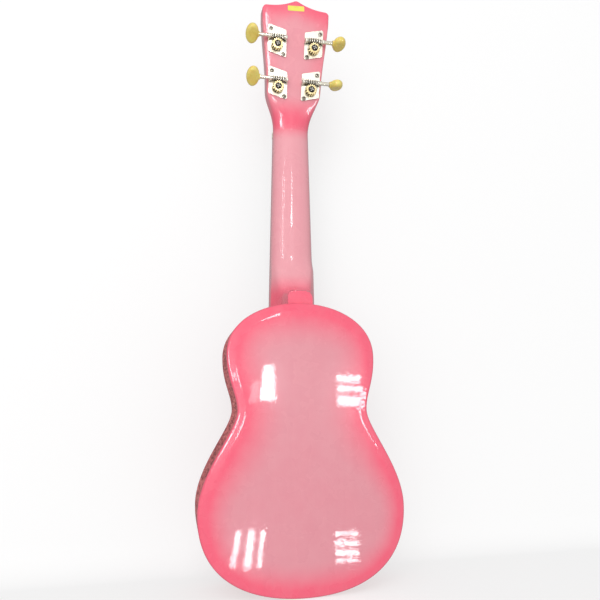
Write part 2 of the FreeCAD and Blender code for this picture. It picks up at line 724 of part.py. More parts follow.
def string_corners(name):
    """A string's bends: knot, slot, saddle crest, nut, and where it meets its post's lowest wrap."""
    radius = STRING_GAUGE[name]
    x_nut, x_saddle = STRING_AT_NUT[name], STRING_AT_SADDLE[name]
    x_post, s_post = TUNER_AT[name]
    ring, turn = coil_ring(name)[1], meeting_turn(name)
    touch = head_point(x_post + ring * math.cos(turn), s_post + ring * math.sin(turn), COIL_HEIGHT)
    in_slot = STRING_SLOT_FLOOR - radius - 0.1
    slot_end, at_nut = (BRIDGE_Z[0] + 3.0, in_slot), (NUT_Z + 1.5, STRING_OVER_NUT - radius)
    crest = (SADDLE_Z, SADDLE_DEPTH_TOP + SADDLE_THICK / 2)
    over = tangent_corner(slot_end, at_nut, crest, SADDLE_THICK / 2 + radius + 0.02)
    return [
        V(x_saddle, in_slot, BRIDGE_Z[0] - KNOT_R * 0.9),
        V(x_saddle, in_slot, slot_end[0]),
        V(x_saddle, over[1], over[0]),
        V(x_nut, at_nut[1], at_nut[0]),
        touch,
    ]


def string_wire(name):
    radius = STRING_GAUGE[name]
    return rounded_run(string_corners(name), (2.0, SADDLE_THICK / 2 + radius + 0.02, 4.0))


def string_path_solid(name, radius):
    path = string_wire(name)
    start = path.Edges[0].Vertexes[0].Point
    disc = Part.Face(Part.Wire(Part.makeCircle(radius, start, Z)))
    return path.makePipe(disc)


def make_string(name):
    """The stretched run from the knot behind the bridge to where it meets its post's lowest wrap."""
    radius = STRING_GAUGE[name]
    knot_at = string_corners(name)[0]
    knot = Part.makeSphere(KNOT_R, knot_at - V(0, 0, 0.1))
    tag = rod(radius, knot_at, knot_at + V(0.8, -2.2, -3.4))
    string = string_path_solid(name, radius).fuse([knot, tag])
    centre, ring = coil_ring(name)
    wrap = Part.makeTorus(ring, radius + 0.05, centre, head_point(0, 0, 1) - head_point(0, 0, 0))
    pieces = string.cut(wrap).Solids
    return max(pieces, key=lambda piece: piece.Volume)


# ---------------------------------------------------------------- tuners
def place_on_head(shape, name):
    """Carry a piece from its tuner's frame to the headstock: x across, y up the head, z forwards."""
    x, s = TUNER_AT[name]
    origin = head_point(x, s, -HEAD_THICK)
    across = X
    up = head_point(0, 1, 0) - head_point(0, 0, 0)
    forwards = head_point(0, 0, 1) - head_point(0, 0, 0)
    frame = Placement(Matrix(
        across.x, up.x, forwards.x, origin.x,
        across.y, up.y, forwards.y, origin.y,
        across.z, up.z, forwards.z, origin.z,
        0, 0, 0, 1))
    moved = shape.copy()
    moved.Placement = frame.multiply(moved.Placement)
    return moved


def handed(shape, name):
    """Mirror a piece for the tuners on the -X side, whose buttons point the other way."""
    return shape if TUNER_AT[name][0] > 0 else shape.mirror(V(0, 0, 0), X)


def screw(head_r, head_tall, shank_r, shank_long, recess_r):
    """A cross-recessed pan-head screw pointing along +z, with its head's underside at z = 0."""
    dome_r = (head_r**2 + head_tall**2) / (2 * head_tall)
    head = rod(head_r, V(0, 0, -head_tall), V(0, 0, 0))
    dome = Part.makeSphere(dome_r, V(0, 0, dome_r - head_tall)).common(head)
    edge = rod(head_r, V(0, 0, -0.3), V(0, 0, 0))
    shank = rod(shank_r, V(0, 0, 0), V(0, 0, shank_long - shank_r))
    point = Part.makeCone(shank_r, 0.2, shank_r, V(0, 0, shank_long - shank_r), Z)
    body = fuse([dome, edge, shank, point])
    wing = recess_r * 0.28
    cross = [
        box(-recess_r, recess_r, -wing, wing, -head_tall - 1, -head_tall * 0.35),
        box(-wing, wing, -recess_r, recess_r, -head_tall - 1, -head_tall * 0.35),
    ]
    return body.cut(Part.makeCompound(cross)).Solids[0]


def screw_room(shank_r, shank_long):
    """The pilot hole that a screw's shank fills."""
    shank = rod(shank_r, V(0, 0, -0.01), V(0, 0, shank_long - shank_r))
    return shank.fuse(Part.makeCone(shank_r, 0.2, shank_r, V(0, 0, shank_long - shank_r), Z))


def make_plate():
    """The slanted tuner plate with two bent-up ears that carry the worm shaft."""
    corners = [V(u, v, 0) for u, v in PLATE_CORNERS]
    plate = Part.Face(Part.makePolygon(corners + corners[:1])).extrude(V(0, 0, -PLATE_THICK))
    upright = [e for e in plate.Edges if abs(e.tangentAt(e.FirstParameter).z) > 0.99]
    plate = plate.makeFillet(PLATE_CORNER_R, upright)
    inner, outer = LUG_U
    for low, high in ((-outer, -inner), (inner, outer)):
        stem = box(low, high, CENTRES - LUG_HALF, CENTRES + LUG_HALF, -WORM_AXIS_W, 0)
        crown = rod(LUG_HALF, V(low, CENTRES, -WORM_AXIS_W), V(high, CENTRES, -WORM_AXIS_W))
        plate = plate.fuse([stem, crown])
    bore = rod(SHAFT_PIN_R + RUNNING_GAP, V(-20, CENTRES, -WORM_AXIS_W), V(20, CENTRES, -WORM_AXIS_W))
    plate = plate.removeSplitter().cut(bore)
    plate = plate.cut(rod(POST_R + 0.15, V(0, 0, -5), V(0, 0, 5)))
    for u, v in PLATE_SCREW_AT:
        plate = plate.cut(rod(PLATE_SCREW_SHANK[0] + 0.05, V(u, v, -5), V(u, v, 5)))
    return plate.Solids[0]


def make_plate_screws(name):
    screws = []
    for u, v in PLATE_SCREW_AT:
        one = screw(PLATE_SCREW_R, 1.2, *PLATE_SCREW_SHANK, 1.25)
        one.rotate(V(0, 0, 0), Z, 25 * u)
        one.translate(V(u, v, -PLATE_THICK))
        screws.append(place_on_head(handed(one, name), name))
    return screws


def headstock_holes(name):
    """Everything a tuner needs cut out of the headstock: the post's bore and two pilot holes."""
    holes = [place_on_head(rod(BUSHING_R, V(0, 0, -1), V(0, 0, HEAD_THICK + 1)), name)]
    for u, v in PLATE_SCREW_AT:
        pilot = screw_room(*PLATE_SCREW_SHANK)
        pilot.translate(V(u, v, -PLATE_THICK))
        holes.append(place_on_head(handed(pilot, name), name))
    return holes


def polar(radius, turn):
    return V(radius * math.cos(turn), radius * math.sin(turn), 0)


def flank_curve(r0, turn0, r1, turn1):
    """A thread flank seen square to the axis, where the radius grows evenly with the turn."""
    steps = 5
    points = []
    for i in range(steps + 1):
        share = i / steps
        points.append(polar(r0 + (r1 - r0) * share, turn0 + (turn1 - turn0) * share))
    return smooth_curve(points)


def arc_between(radius, turn0, turn1):
    return Part.Arc(polar(radius, turn0), polar(radius, (turn0 + turn1) / 2), polar(radius, turn1)).toShape()


def twisted(section, long, lead):
    """Sweep a flat section up +z while it turns once, right-handed, in every lead."""
    spine = Part.Wire([Part.makeLine(V(0, 0, 0), V(0, 0, long))])
    guide = Part.Wire(Part.makeHelix(lead, long, 3.0).Edges)
    sweep = Part.BRepOffsetAPI.MakePipeShell(spine)
    sweep.setAuxiliarySpine(guide, True, 0)
    sweep.add(section)
    sweep.build()
    sweep.makeSolid()
    return sweep.shape()


def make_worm_thread():
    """A single right-handed thread along +z, centred, whose crest at z = 0 points along -x."""
    half_pitch_line = TOOTH_SHARE / 2
    crest = half_pitch_line - ADDENDUM * FLANK / AXIAL_PITCH
    foot = half_pitch_line + DEDENDUM * FLANK / AXIAL_PITCH
    outer, root = WORM_PITCH_R + ADDENDUM, WORM_PITCH_R - DEDENDUM
    turn = 2 * math.pi
    section = Part.Wire([
        arc_between(outer, -crest * turn, crest * turn),
        flank_curve(outer, crest * turn, root, foot * turn),
        arc_between(root, foot * turn, (1 - foot) * turn),
        flank_curve(root, (1 - foot) * turn, outer, (1 - crest) * turn),
    ])
    thread = twisted(section, 2 * WORM_HALF, AXIAL_PITCH)
    thread.translate(V(0, 0, -WORM_HALF))
    thread.rotate(V(0, 0, 0), Z, 180 - 360 * WORM_HALF / AXIAL_PITCH)
    return thread


def along_worm(shape):
    """Turn a piece built along +z so that it lies along the worm, with its +x side towards +y."""
    frame = Placement(Matrix(0, 0, 1, 0, 1, 0, 0, CENTRES, 0, 1, 0, -WORM_AXIS_W, 0, 0, 0, 1))
    moved = shape.copy()
    moved.Placement = frame.multiply(moved.Placement)
    return moved


def tang(name, grow=0.0):
    """The flat-sided end of the shaft that drives the button, turned to the button's rest angle."""
    flat = SHAFT_R * 0.72 + grow
    start, end = BUTTON_U[0] - 0.6, BUTTON_U[1] - 4.5
    bar = rod(SHAFT_R + grow, V(0, 0, start), V(0, 0, end))
    bar = bar.common(box(-flat, flat, -9, 9, start, end))
    bar.rotate(V(0, 0, 0), Z, KNOB_ANGLE[name])
    return bar


def make_worm_shaft(name):
    """Thread, journals, thrust collars and the shank that carries the button."""
    inner, outer = LUG_U
    root = WORM_PITCH_R - DEDENDUM
    plain = [
        rod(root, V(0, 0, -inner), V(0, 0, -WORM_HALF + 0.2)),
        rod(root, V(0, 0, WORM_HALF - 0.2), V(0, 0, inner)),
        rod(2.1, V(0, 0, -inner + 0.1), V(0, 0, -WORM_HALF - 0.9)),
        rod(2.1, V(0, 0, WORM_HALF + 0.9), V(0, 0, inner - 0.1)),
        rod(SHAFT_PIN_R, V(0, 0, -outer - 0.5), V(0, 0, -inner + 0.5)),
        rod(SHAFT_PIN_R, V(0, 0, inner - 0.5), V(0, 0, outer + 0.5)),
        rod(2.3, V(0, 0, outer + 0.1), V(0, 0, outer + 1.2)),
        rod(SHAFT_R, V(0, 0, outer + 0.5), V(0, 0, BUTTON_U[0] - 0.6)),
        tang(name),
    ]
    plain = fuse(plain)
    if TUNER_AT[name][0] < 0:
        plain = plain.mirror(V(0, 0, 0), Z)
    shaft = plain.fuse(make_worm_thread())
    return place_on_head(along_worm(shaft.Solids[0]), name)


def make_button(name):
    """An oval pressed-on button: a pillow-edged oval slab with a short neck round the shank."""
    start, end = BUTTON_U
    middle, half_long = (start + end) / 2, (end - start) / 2
    oval = Part.Ellipse(V(0, 0, 0), BUTTON_HALF_LONG, half_long).toShape()
    slab = Part.Face(Part.Wire([oval])).extrude(V(0, 0, BUTTON_THICK))
    slab = slab.makeFillet(BUTTON_THICK * 0.42, slab.Edges[:])
    slab.translate(V(0, 0, -BUTTON_THICK / 2))
    # the oval's long axis goes across the shank and its thickness along x
    stood = Placement(Matrix(0, 0, 1, 0, 1, 0, 0, 0, 0, 1, 0, middle, 0, 0, 0, 1))
    slab.Placement = stood.multiply(slab.Placement)
    neck = Part.makeCone(2.6, 3.2, 2.6, V(0, 0, start - 0.6), Z)
    button = slab.fuse(neck).removeSplitter()
    button.rotate(V(0, 0, 0), Z, KNOB_ANGLE[name])
    button = button.cut(tang(name))
    if TUNER_AT[name][0] < 0:
        button = button.mirror(V(0, 0, 0), Z)
    return place_on_head(along_worm(button.Solids[0]), name)


def make_gear():
    """A helical wheel of straight-flanked teeth on a hub, bored to fit the flats of the post."""
    low, high = -GEAR_W[1], -GEAR_W[0]
    pitch = 2 * math.pi / GEAR_TEETH
    half_pitch_line = TOOTH_SHARE * AXIAL_PITCH / 2
    tip_r, root_r = GEAR_PITCH_R + ADDENDUM, GEAR_PITCH_R - DEDENDUM
    tip = (half_pitch_line - ADDENDUM * FLANK) / tip_r
    foot = min((half_pitch_line + DEDENDUM * FLANK) / root_r, pitch * 0.46)
    edges = []
    for tooth in range(GEAR_TEETH):
        middle = math.pi / 2 + (tooth + 0.5) * pitch
        edges += [
            Part.makeLine(polar(root_r, middle - foot), polar(tip_r, middle - tip)),
            arc_between(tip_r, middle - tip, middle + tip),
            Part.makeLine(polar(tip_r, middle + tip), polar(root_r, middle + foot)),
            arc_between(root_r, middle + foot, middle + pitch - foot),
        ]
    lead_slope = AXIAL_PITCH / (2 * math.pi * WORM_PITCH_R)
    lead = 2 * math.pi * GEAR_PITCH_R / lead_slope
    wheel = twisted(Part.Wire(edges), high - low, lead)
    wheel.rotate(V(0, 0, 0), Z, -180.0 * (high - low) / lead)
    wheel.translate(V(0, 0, low))
    centre_turn = 360.0 * (WORM_AXIS_W - (GEAR_W[0] + GEAR_W[1]) / 2) / lead
    wheel.rotate(V(0, 0, 0), Z, centre_turn)
    # the teeth's corners are taken off at both faces
    bevel = 0.35
    blank = Part.makeCone(tip_r - bevel, tip_r + 3 * bevel, 4 * bevel, V(0, 0, low), Z)
    wide = tip_r + 3 * bevel
    blank = blank.fuse([
        rod(wide, V(0, 0, low + 4 * bevel), V(0, 0, high - 4 * bevel)),
        Part.makeCone(wide, tip_r - bevel, 4 * bevel, V(0, 0, high - 4 * bevel), Z),
    ])
    wheel = wheel.common(blank)
    hub = rod(HUB_R, V(0, 0, high - 0.5), V(0, 0, -HUB_W))
    gear = wheel.fuse(hub).removeSplitter().cut(post_drive())
    return gear.Solids[0]


def post_drive():
    drive = rod(POST_DRIVE_R, V(0, 0, -GEAR_W[1]), V(0, 0, -HUB_W))
    return drive.common(box(-POST_DRIVE_FLAT, POST_DRIVE_FLAT, -9, 9, -GEAR_W[1], -HUB_W))


def make_post():
    """The string post: flats for the gear behind, a journal through the head, a waisted top in front."""
    face = HEAD_THICK
    start = -HUB_W
    shoulder, waist_low, waist_high, cap = 4.6, 6.0, 10.2, 12.0
    profile = [
        Part.makeLine(V(0, 0, start), V(POST_R, 0, start)),
        Part.makeLine(V(POST_R, 0, start), V(POST_R, 0, face + shoulder)),
        Part.makeLine(V(POST_R, 0, face + shoulder), V(POST_WAIST_R, 0, face + waist_low)),
        Part.makeLine(V(POST_WAIST_R, 0, face + waist_low), V(POST_WAIST_R, 0, face + waist_high)),
        Part.makeLine(V(POST_WAIST_R, 0, face + waist_high), V(POST_R, 0, face + cap)),
        Part.makeLine(V(POST_R, 0, face + cap), V(POST_R, 0, face + POST_TOP - 0.8)),
        Part.makeLine(V(POST_R, 0, face + POST_TOP - 0.8), V(POST_R - 0.8, 0, face + POST_TOP)),
        Part.makeLine(V(POST_R - 0.8, 0, face + POST_TOP), V(0, 0, face + POST_TOP)),
        Part.makeLine(V(0, 0, face + POST_TOP), V(0, 0, start)),
    ]
    post = Part.Face(Part.Wire(profile)).revolve(V(0, 0, 0), Z, 360)
    hole = V(0, 0, face + POST_HOLE_H)
    post = post.cut(rod(POST_HOLE_R, hole - X * 9, hole + X * 9))
    post = post.fuse(post_drive()).removeSplitter()
    pilot = screw_room(*GEAR_SCREW_SHANK)
    pilot.translate(V(0, 0, -GEAR_W[1]))
    return post.cut(pilot).Solids[0]


def make_gear_screw():
    one = screw(GEAR_SCREW_R, 1.7, *GEAR_SCREW_SHANK, 1.9)
    one.rotate(V(0, 0, 0), Z, 20)
    one.translate(V(0, 0, -GEAR_W[1]))
    return one


def make_bushing():
    """The pressed-in sleeve with a low flange that guides the post where it leaves the front face."""
    flange_r, flange_tall = BUSHING_FLANGE
    face = HEAD_THICK
    sleeve = rod(BUSHING_R, V(0, 0, face - BUSHING_LONG), V(0, 0, face))
    flange = rod(flange_r, V(0, 0, face), V(0, 0, face + flange_tall))
    flange = flange.makeFillet(0.6, [e for e in flange.Edges if e.CenterOfMass.z > face + flange_tall - 0.01])
    bore = rod(POST_R + RUNNING_GAP, V(0, 0, 0), V(0, 0, 40))
    return sleeve.fuse(flange).removeSplitter().cut(bore).Solids[0]


def make_coil(name):
    """A closed lowest wrap, two more turns up to the hole, and the cut end through it."""
    radius = STRING_GAUGE[name]
    ring = POST_WAIST_R + radius + 0.02
    low, high = HEAD_THICK + COIL_HEIGHT, HEAD_THICK + POST_HOLE_H
    lowest = Part.makeTorus(ring, radius, V(0, 0, low), Z)
    start = meeting_turn(name)
    if TUNER_AT[name][0] > 0:
        start = math.pi - start
    start = math.remainder(start, 2 * math.pi) + COIL_LEAD_IN
    turns = 2 - start / (2 * math.pi)
    helix = Part.makeHelix((high - low) / turns, high - low, ring)
    helix.translate(V(0, 0, low))
    disc = Part.Wire(Part.makeCircle(radius, V(ring, 0, low), Y))
    sweep = Part.BRepOffsetAPI.MakePipeShell(Part.Wire(helix.Edges))
    sweep.setFrenetMode(True)
    sweep.add(disc)
    sweep.build()
    sweep.makeSolid()
    wraps = sweep.shape()
    wraps.rotate(V(0, 0, 0), Z, math.degrees(start))
    tail = rod(radius, V(ring, 0, high), V(-ring - STRING_TAIL, 0, high))
    coil = lowest.fuse([wraps, tail])
    return handed(coil.Solids[0], name)


def make_sticker():
    wide, tall, thick = STICKER
    label = box(-wide / 2, wide / 2, -tall / 2, tall / 2, -thick, 0)
    label = label.makeFillet(0.6, [e for e in label.Edges if abs(e.tangentAt(e.FirstParameter).z) > 0.99])
    label.rotate(V(0, 0, 0), Z, -4)
    origin = head_point(0.3, STICKER_S, -HEAD_THICK)
    up, forwards = head_point(0, 1, 0) - head_point(0, 0, 0), head_point(0, 0, 1) - head_point(0, 0, 0)
    frame = Placement(Matrix(
        1, 0, 0, origin.x, 0, up.y, forwards.y, origin.y, 0, up.z, forwards.z, origin.z, 0, 0, 0, 1))
    label.Placement = frame.multiply(label.Placement)
    return label


# ---------------------------------------------------------------- the whole instrument
def all_pieces():
    side_treble, side_bass = make_sides()
    neck = make_neck().cut(dowels())
    holes = []
    for name in TUNER_AT:
        holes += headstock_holes(name)
    neck = neck.cut(Part.makeCompound(holes))
    pieces = {
        "back_plate": make_back_plate(),
        "soundboard": make_soundboard(),
        "side_treble": side_treble,
        "side_bass": side_bass,
        "tail_block": make_block("tail"),
        "neck_block": make_block("neck"),
        "top_linings": make_top_linings(),
        "back_linings": make_back_linings(),
        "top_brace_lower": make_top_brace(TOP_BRACE_Z[0]),
        "top_brace_upper": make_top_brace(TOP_BRACE_Z[1]),
        "back_brace_lower": make_back_brace(BACK_BRACE_Z[0]),
        "back_brace_upper": make_back_brace(BACK_BRACE_Z[1]),
        "bridge_plate": make_bridge_plate(),
        "rosette": make_rosette(),
        "bridge": make_bridge(),
        "saddle": make_saddle(),
        "neck": neck,
        "neck_dowels": dowels(),
        "fingerboard": make_fingerboard(),
        "frets": make_frets(),
        "position_dots": make_dots(),
        "nut": make_nut(),
        "headstock_sticker": make_sticker(),
    }
    plate_screws, bushings = [], []
    for name in TUNER_AT:
        plate_screws += make_plate_screws(name)
        bushings.append(place_on_head(make_bushing(), name))
        pieces["string_" + name] = make_string(name)
        pieces["tuner_plate_" + name] = place_on_head(handed(make_plate(), name), name)
        pieces["worm_shaft_" + name] = make_worm_shaft(name)
        pieces["button_" + name] = make_button(name)
        pieces["gear_" + name] = place_on_head(make_gear(), name)
        pieces["post_" + name] = place_on_head(make_post(), name)
        pieces["gear_screw_" + name] = place_on_head(make_gear_screw(), name)
        pieces["string_coil_" + name] = place_on_head(make_coil(name), name)
    pieces["plate_screws"] = Part.makeCompound(plate_screws)
    pieces["post_bushings"] = Part.makeCompound(bushings)
    return pieces


os.makedirs("parts", exist_ok=True)
for node, piece in all_pieces().items():
    solids = piece.Solids
    whole = solids[0] if len(solids) == 1 else Part.makeCompound(solids)
    place_in_row(whole).exportStep("parts/" + node + ".step")
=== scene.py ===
import math
import bmesh
import bpy
import numpy as np
from mathutils import Matrix, Vector
from mathutils.geometry import delaunay_2d_cdt


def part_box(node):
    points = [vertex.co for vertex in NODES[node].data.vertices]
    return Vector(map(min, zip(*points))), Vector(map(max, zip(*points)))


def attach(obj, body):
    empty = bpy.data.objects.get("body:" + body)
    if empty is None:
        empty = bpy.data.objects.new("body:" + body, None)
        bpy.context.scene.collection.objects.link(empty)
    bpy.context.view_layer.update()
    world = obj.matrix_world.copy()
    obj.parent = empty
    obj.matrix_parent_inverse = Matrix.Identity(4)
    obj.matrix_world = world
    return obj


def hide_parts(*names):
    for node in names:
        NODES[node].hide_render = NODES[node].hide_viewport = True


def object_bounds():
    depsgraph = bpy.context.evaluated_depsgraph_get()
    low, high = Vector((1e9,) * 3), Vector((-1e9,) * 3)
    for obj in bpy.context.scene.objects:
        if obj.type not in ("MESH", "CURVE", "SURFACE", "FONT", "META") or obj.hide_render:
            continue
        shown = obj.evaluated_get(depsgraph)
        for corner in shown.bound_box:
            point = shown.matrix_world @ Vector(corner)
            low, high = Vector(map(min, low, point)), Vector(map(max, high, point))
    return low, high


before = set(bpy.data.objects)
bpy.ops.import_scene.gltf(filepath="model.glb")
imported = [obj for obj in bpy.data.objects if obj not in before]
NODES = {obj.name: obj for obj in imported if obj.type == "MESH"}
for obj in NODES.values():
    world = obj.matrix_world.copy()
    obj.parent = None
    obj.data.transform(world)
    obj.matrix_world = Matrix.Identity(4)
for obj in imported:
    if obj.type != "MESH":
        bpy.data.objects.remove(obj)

# The ukulele's looks round its CAD frame. Row frame in metres: +Z up the neck, -Y out of the soundboard,
# +X the side of the A string. A depth is measured backwards from the soundboard's outer face.
MM = 0.001
CAD_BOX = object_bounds()

# ---------------------------------------------------------------- sizes, from the frame
TOP_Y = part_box("soundboard")[0].y
BODY_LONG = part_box("back_plate")[1].z
LOWER_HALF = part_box("back_plate")[1].x
TOP_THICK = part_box("soundboard")[1].y - TOP_Y
NUT_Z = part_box("nut")[0].z
CREASE_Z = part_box("nut")[1].z
NUT_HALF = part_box("nut")[1].x
BACK_THICK = 2.2 * MM
SIDE_THICK = 2.0 * MM
HEAD_TILT = math.radians(10.0)
HEAD_THICK = 13.0 * MM
HEAD_EDGE_ROUND = 1.8 * MM
JOINT_HALF = 20.9 * MM
HEEL_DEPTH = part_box("neck")[1].y - TOP_Y
HEEL_CAP_HALF = 11.7 * MM
HEEL_CAP_LONG = 11.6 * MM
HEEL_SQUARE, HEEL_FLARE = 4.0, 0.4
NECK_DEPTH_HEEL, NECK_DEPTH_NUT = 16.0 * MM, 14.0 * MM
ARCH_LONG, ARCH_CROSS = 1400.0 * MM, 700.0 * MM
DEPTH_AT_TAIL, DEPTH_AT_NECK = 57.0 * MM, 45.5 * MM
RECURVE, RECURVE_DROP = 9.0 * MM, 0.9 * MM    # how far in the back eases down, and by how much
BACK_ROLL = 2.0 * MM
HOLE_MIDDLE = (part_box("rosette")[0].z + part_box("rosette")[1].z) / 2
HOLE_R = 25.0 * MM
CREASE_ANGLE = math.radians(35.0)    # faces that meet at more than this keep a hard edge


def srgb(r, g, b):
    """A display colour, 0 to 255, as the linear colour that shaders use."""
    return tuple(((c / 255 + 0.055) / 1.055) ** 2.4 if c > 10 else c / 3294.6 for c in (r, g, b)) + (1.0,)


def mix_number(a, b, t):
    return a + (b - a) * t


def smooth(t):
    t = np.clip(t, 0, 1)
    return t * t * (3 - 2 * t)


# ---------------------------------------------------------------- material building blocks
class Shader:
    """Builds one material's nodes."""

    def __init__(self, name):
        self.material = bpy.data.materials.new(name)
        self.material.use_nodes = True
        self.tree = self.material.node_tree
        self.tree.nodes.clear()
        self.out = self.tree.nodes.new("ShaderNodeOutputMaterial")
        self.place = self.tree.nodes.new("ShaderNodeTexCoord").outputs["Object"]

    def node(self, kind, inputs=None, **settings):
        made = self.tree.nodes.new(kind)
        for key, value in settings.items():
            setattr(made, key, value)
        for key, value in (inputs or {}).items():
            self.put(made.inputs[key], value)
        return made

    def put(self, socket, value):
        if isinstance(value, bpy.types.NodeSocket):
            self.tree.links.new(value, socket)
        else:
            socket.default_value = value

    def stretch(self, x, y, z):
        return self.node("ShaderNodeMapping", {"Vector": self.place, "Scale": (x, y, z)}).outputs[0]

    def noise(self, scale, detail=3.0, rough=0.55, where=None, twist=0.0):
        found = self.node("ShaderNodeTexNoise", {
            "Vector": where or self.place, "Scale": scale, "Detail": detail, "Roughness": rough,
            "Distortion": twist})
        return found.outputs["Fac"]

    def cells(self, scale):
        made = self.node("ShaderNodeTexVoronoi", {"Vector": self.place, "Scale": scale})
        return made.outputs["Distance"]

    def math(self, operation, a, b=0.0, c=0.0, clamp=False):
        made = self.node("ShaderNodeMath", operation=operation, use_clamp=clamp)
        for socket, value in zip(made.inputs, (a, b, c)):
            self.put(socket, value)
        return made.outputs[0]

    def spread(self, value, low, high, to_low=0.0, to_high=1.0):
        made = self.node("ShaderNodeMapRange", {
            "Value": value, "From Min": low, "From Max": high, "To Min": to_low, "To Max": to_high})
        return made.outputs[0]

    def mix(self, share, a, b):
        made = self.node("ShaderNodeMix", data_type="RGBA")
        self.put(made.inputs[0], share)
        self.put(made.inputs[6], a)
        self.put(made.inputs[7], b)
        return made.outputs[2]

    def read(self, name):
        return self.node("ShaderNodeAttribute", attribute_name=name).outputs["Fac"]

    def bump(self, height, depth, normal=None):
        inputs = {"Height": height, "Strength": 1.0, "Distance": depth}
        if normal is not None:
            inputs["Normal"] = normal
        return self.node("ShaderNodeBump", inputs).outputs[0]

    def soft_edges(self, radius):
        return self.node("ShaderNodeBevel", {"Radius": radius}, samples=4).outputs[0]

    def edge_wear(self, radius):
        """Near 1 at sharp outer edges, 0 on flats, from how far the softened normal leans."""
        soft = self.soft_edges(radius)
        true = self.node("ShaderNodeNewGeometry").outputs["Normal"]
        lean = self.node("ShaderNodeVectorMath", {0: soft, 1: true}, operation="DOT_PRODUCT")
        return self.spread(lean.outputs["Value"], 1.0, 0.75)

    def nooks(self, reach):
        """1 in the open, falling towards 0 in narrow gaps and inner corners."""
        return self.node("ShaderNodeAmbientOcclusion", {"Distance": reach}, samples=6).outputs["AO"]

    def finish(self, **inputs):
        names = {
            "color": "Base Color", "metal": "Metallic", "rough": "Roughness", "normal": "Normal",
            "coat": "Coat Weight", "coat_rough": "Coat Roughness", "coat_normal": "Coat Normal",
            "sss": "Subsurface Weight", "sss_scale": "Subsurface Scale", "ior": "IOR",
            "clear": "Transmission Weight", "specular": "Specular IOR Level"}
        surface = self.node("ShaderNodeBsdfPrincipled", {names[k]: v for k, v in inputs.items()})
        self.tree.links.new(surface.outputs[0], self.out.inputs["Surface"])
        return self.material


# ---------------------------------------------------------------- finishes
CENTRE_ROSE = srgb(228, 145, 157)
RIM_PINK = srgb(250, 89, 119)
NECK_ROSE = srgb(238, 160, 170)


PEEL_DEPTH = 0.0000023


def orange_peel(sh):
    """The sprayed coat's skin: fine dimples, larger ones, and a slow swell under them."""
    height = 0.0
    for scale, weight in ((640, 4.5), (420, 5.5), (150, 1.0)):
        height = sh.math("MULTIPLY_ADD", sh.noise(scale, 1.0, 0.5), weight, height)
    return sh.bump(height, PEEL_DEPTH)


def hairlines(sh):
    """Faint polishing scratches, as thin arcs running different ways."""
    first = sh.noise(60, 1.0, 0.4, sh.stretch(1.0, 1.0, 14.0), 0.6)
    second = sh.noise(55, 1.0, 0.4, sh.stretch(12.0, 1.0, 1.2), 0.8)
    lines = [sh.math("COMPARE", n, 0.5, 0.004) for n in (first, second)]
    return sh.math("MAXIMUM", lines[0], lines[1])


def burst_lacquer(name, centre, rim):
    """Gloss lacquer sprayed from a pale middle to a deep rim, where the "burst" attribute is 0."""
    sh = Shader(name)
    share = sh.read("burst")
    drift = sh.math("MULTIPLY", sh.math("SUBTRACT", sh.noise(18, 3.0), 0.5), 0.16)
    share = sh.math("ADD", share, drift, clamp=True)
    color = sh.mix(share, rim, centre)
    grain = sh.noise(7, 4.0, 0.6, sh.stretch(26.0, 26.0, 1.3), 0.4)
    color = sh.mix(sh.math("MULTIPLY", sh.spread(grain, 0.35, 0.75), 0.07), color, srgb(196, 112, 128))
    mottle = sh.spread(sh.noise(90, 4.0), 0.35, 0.7)
    color = sh.mix(sh.math("MULTIPLY", mottle, 0.05), color, srgb(255, 214, 214))
    specks = sh.spread(sh.cells(210), 0.05, 0.02)
    color = sh.mix(sh.math("MULTIPLY", specks, 0.14), color, srgb(250, 232, 226))
    scratches = hairlines(sh)
    cloud = sh.spread(sh.noise(40, 3.0), 0.3, 0.7, 0.22, 0.32)
    rough = sh.math("MULTIPLY_ADD", scratches, 0.2, cloud)
    coat_rough = sh.math("MULTIPLY_ADD", scratches, 0.10, 0.02)
    return sh.finish(
        color=color, rough=rough, normal=sh.bump(mottle, 0.00001), specular=0.3,
        coat=1.0, coat_rough=coat_rough, coat_normal=orange_peel(sh))


def rib_lacquer():
    """The sides: a deeper brownish rose, partly the paint's own colour and partly painted shade of sides
    turned from the light, over figured wood whose streaks run square to the outline.
    """
    sh = Shader("rib_lacquer")
    run = sh.read("run")
    across = sh.read("across")
    along_streak = sh.math("MULTIPLY", across, 0.16)
    where = sh.node("ShaderNodeCombineXYZ", {"X": run, "Y": along_streak, "Z": 0.0}).outputs[0]
    streak = sh.noise(330, 3.0, 0.75, where, 0.3)
    broad = sh.noise(60, 3.0, 0.6, where, 0.5)
    # painted shade: the base rose is set darker and browner than the back's pink, partly standing for the
    # shade on the sides
    color = sh.mix(sh.spread(broad, 0.35, 0.65), srgb(186, 82, 84), srgb(226, 112, 112))
    color = sh.mix(sh.spread(streak, 0.5, 0.62, 0.0, 0.85), color, srgb(92, 28, 30))
    color = sh.mix(sh.spread(streak, 0.42, 0.34, 0.0, 0.6), color, srgb(250, 176, 164))
    edge = sh.read("burst")
    color = sh.mix(sh.math("MULTIPLY", sh.math("SUBTRACT", 1.0, edge), 0.5), color, srgb(206, 84, 100))
    return sh.finish(
        color=color, rough=sh.spread(streak, 0.3, 0.7, 0.4, 0.55), normal=sh.bump(streak, 0.00003),
        specular=0.05, coat=0.12, coat_rough=0.15, coat_normal=orange_peel(sh))


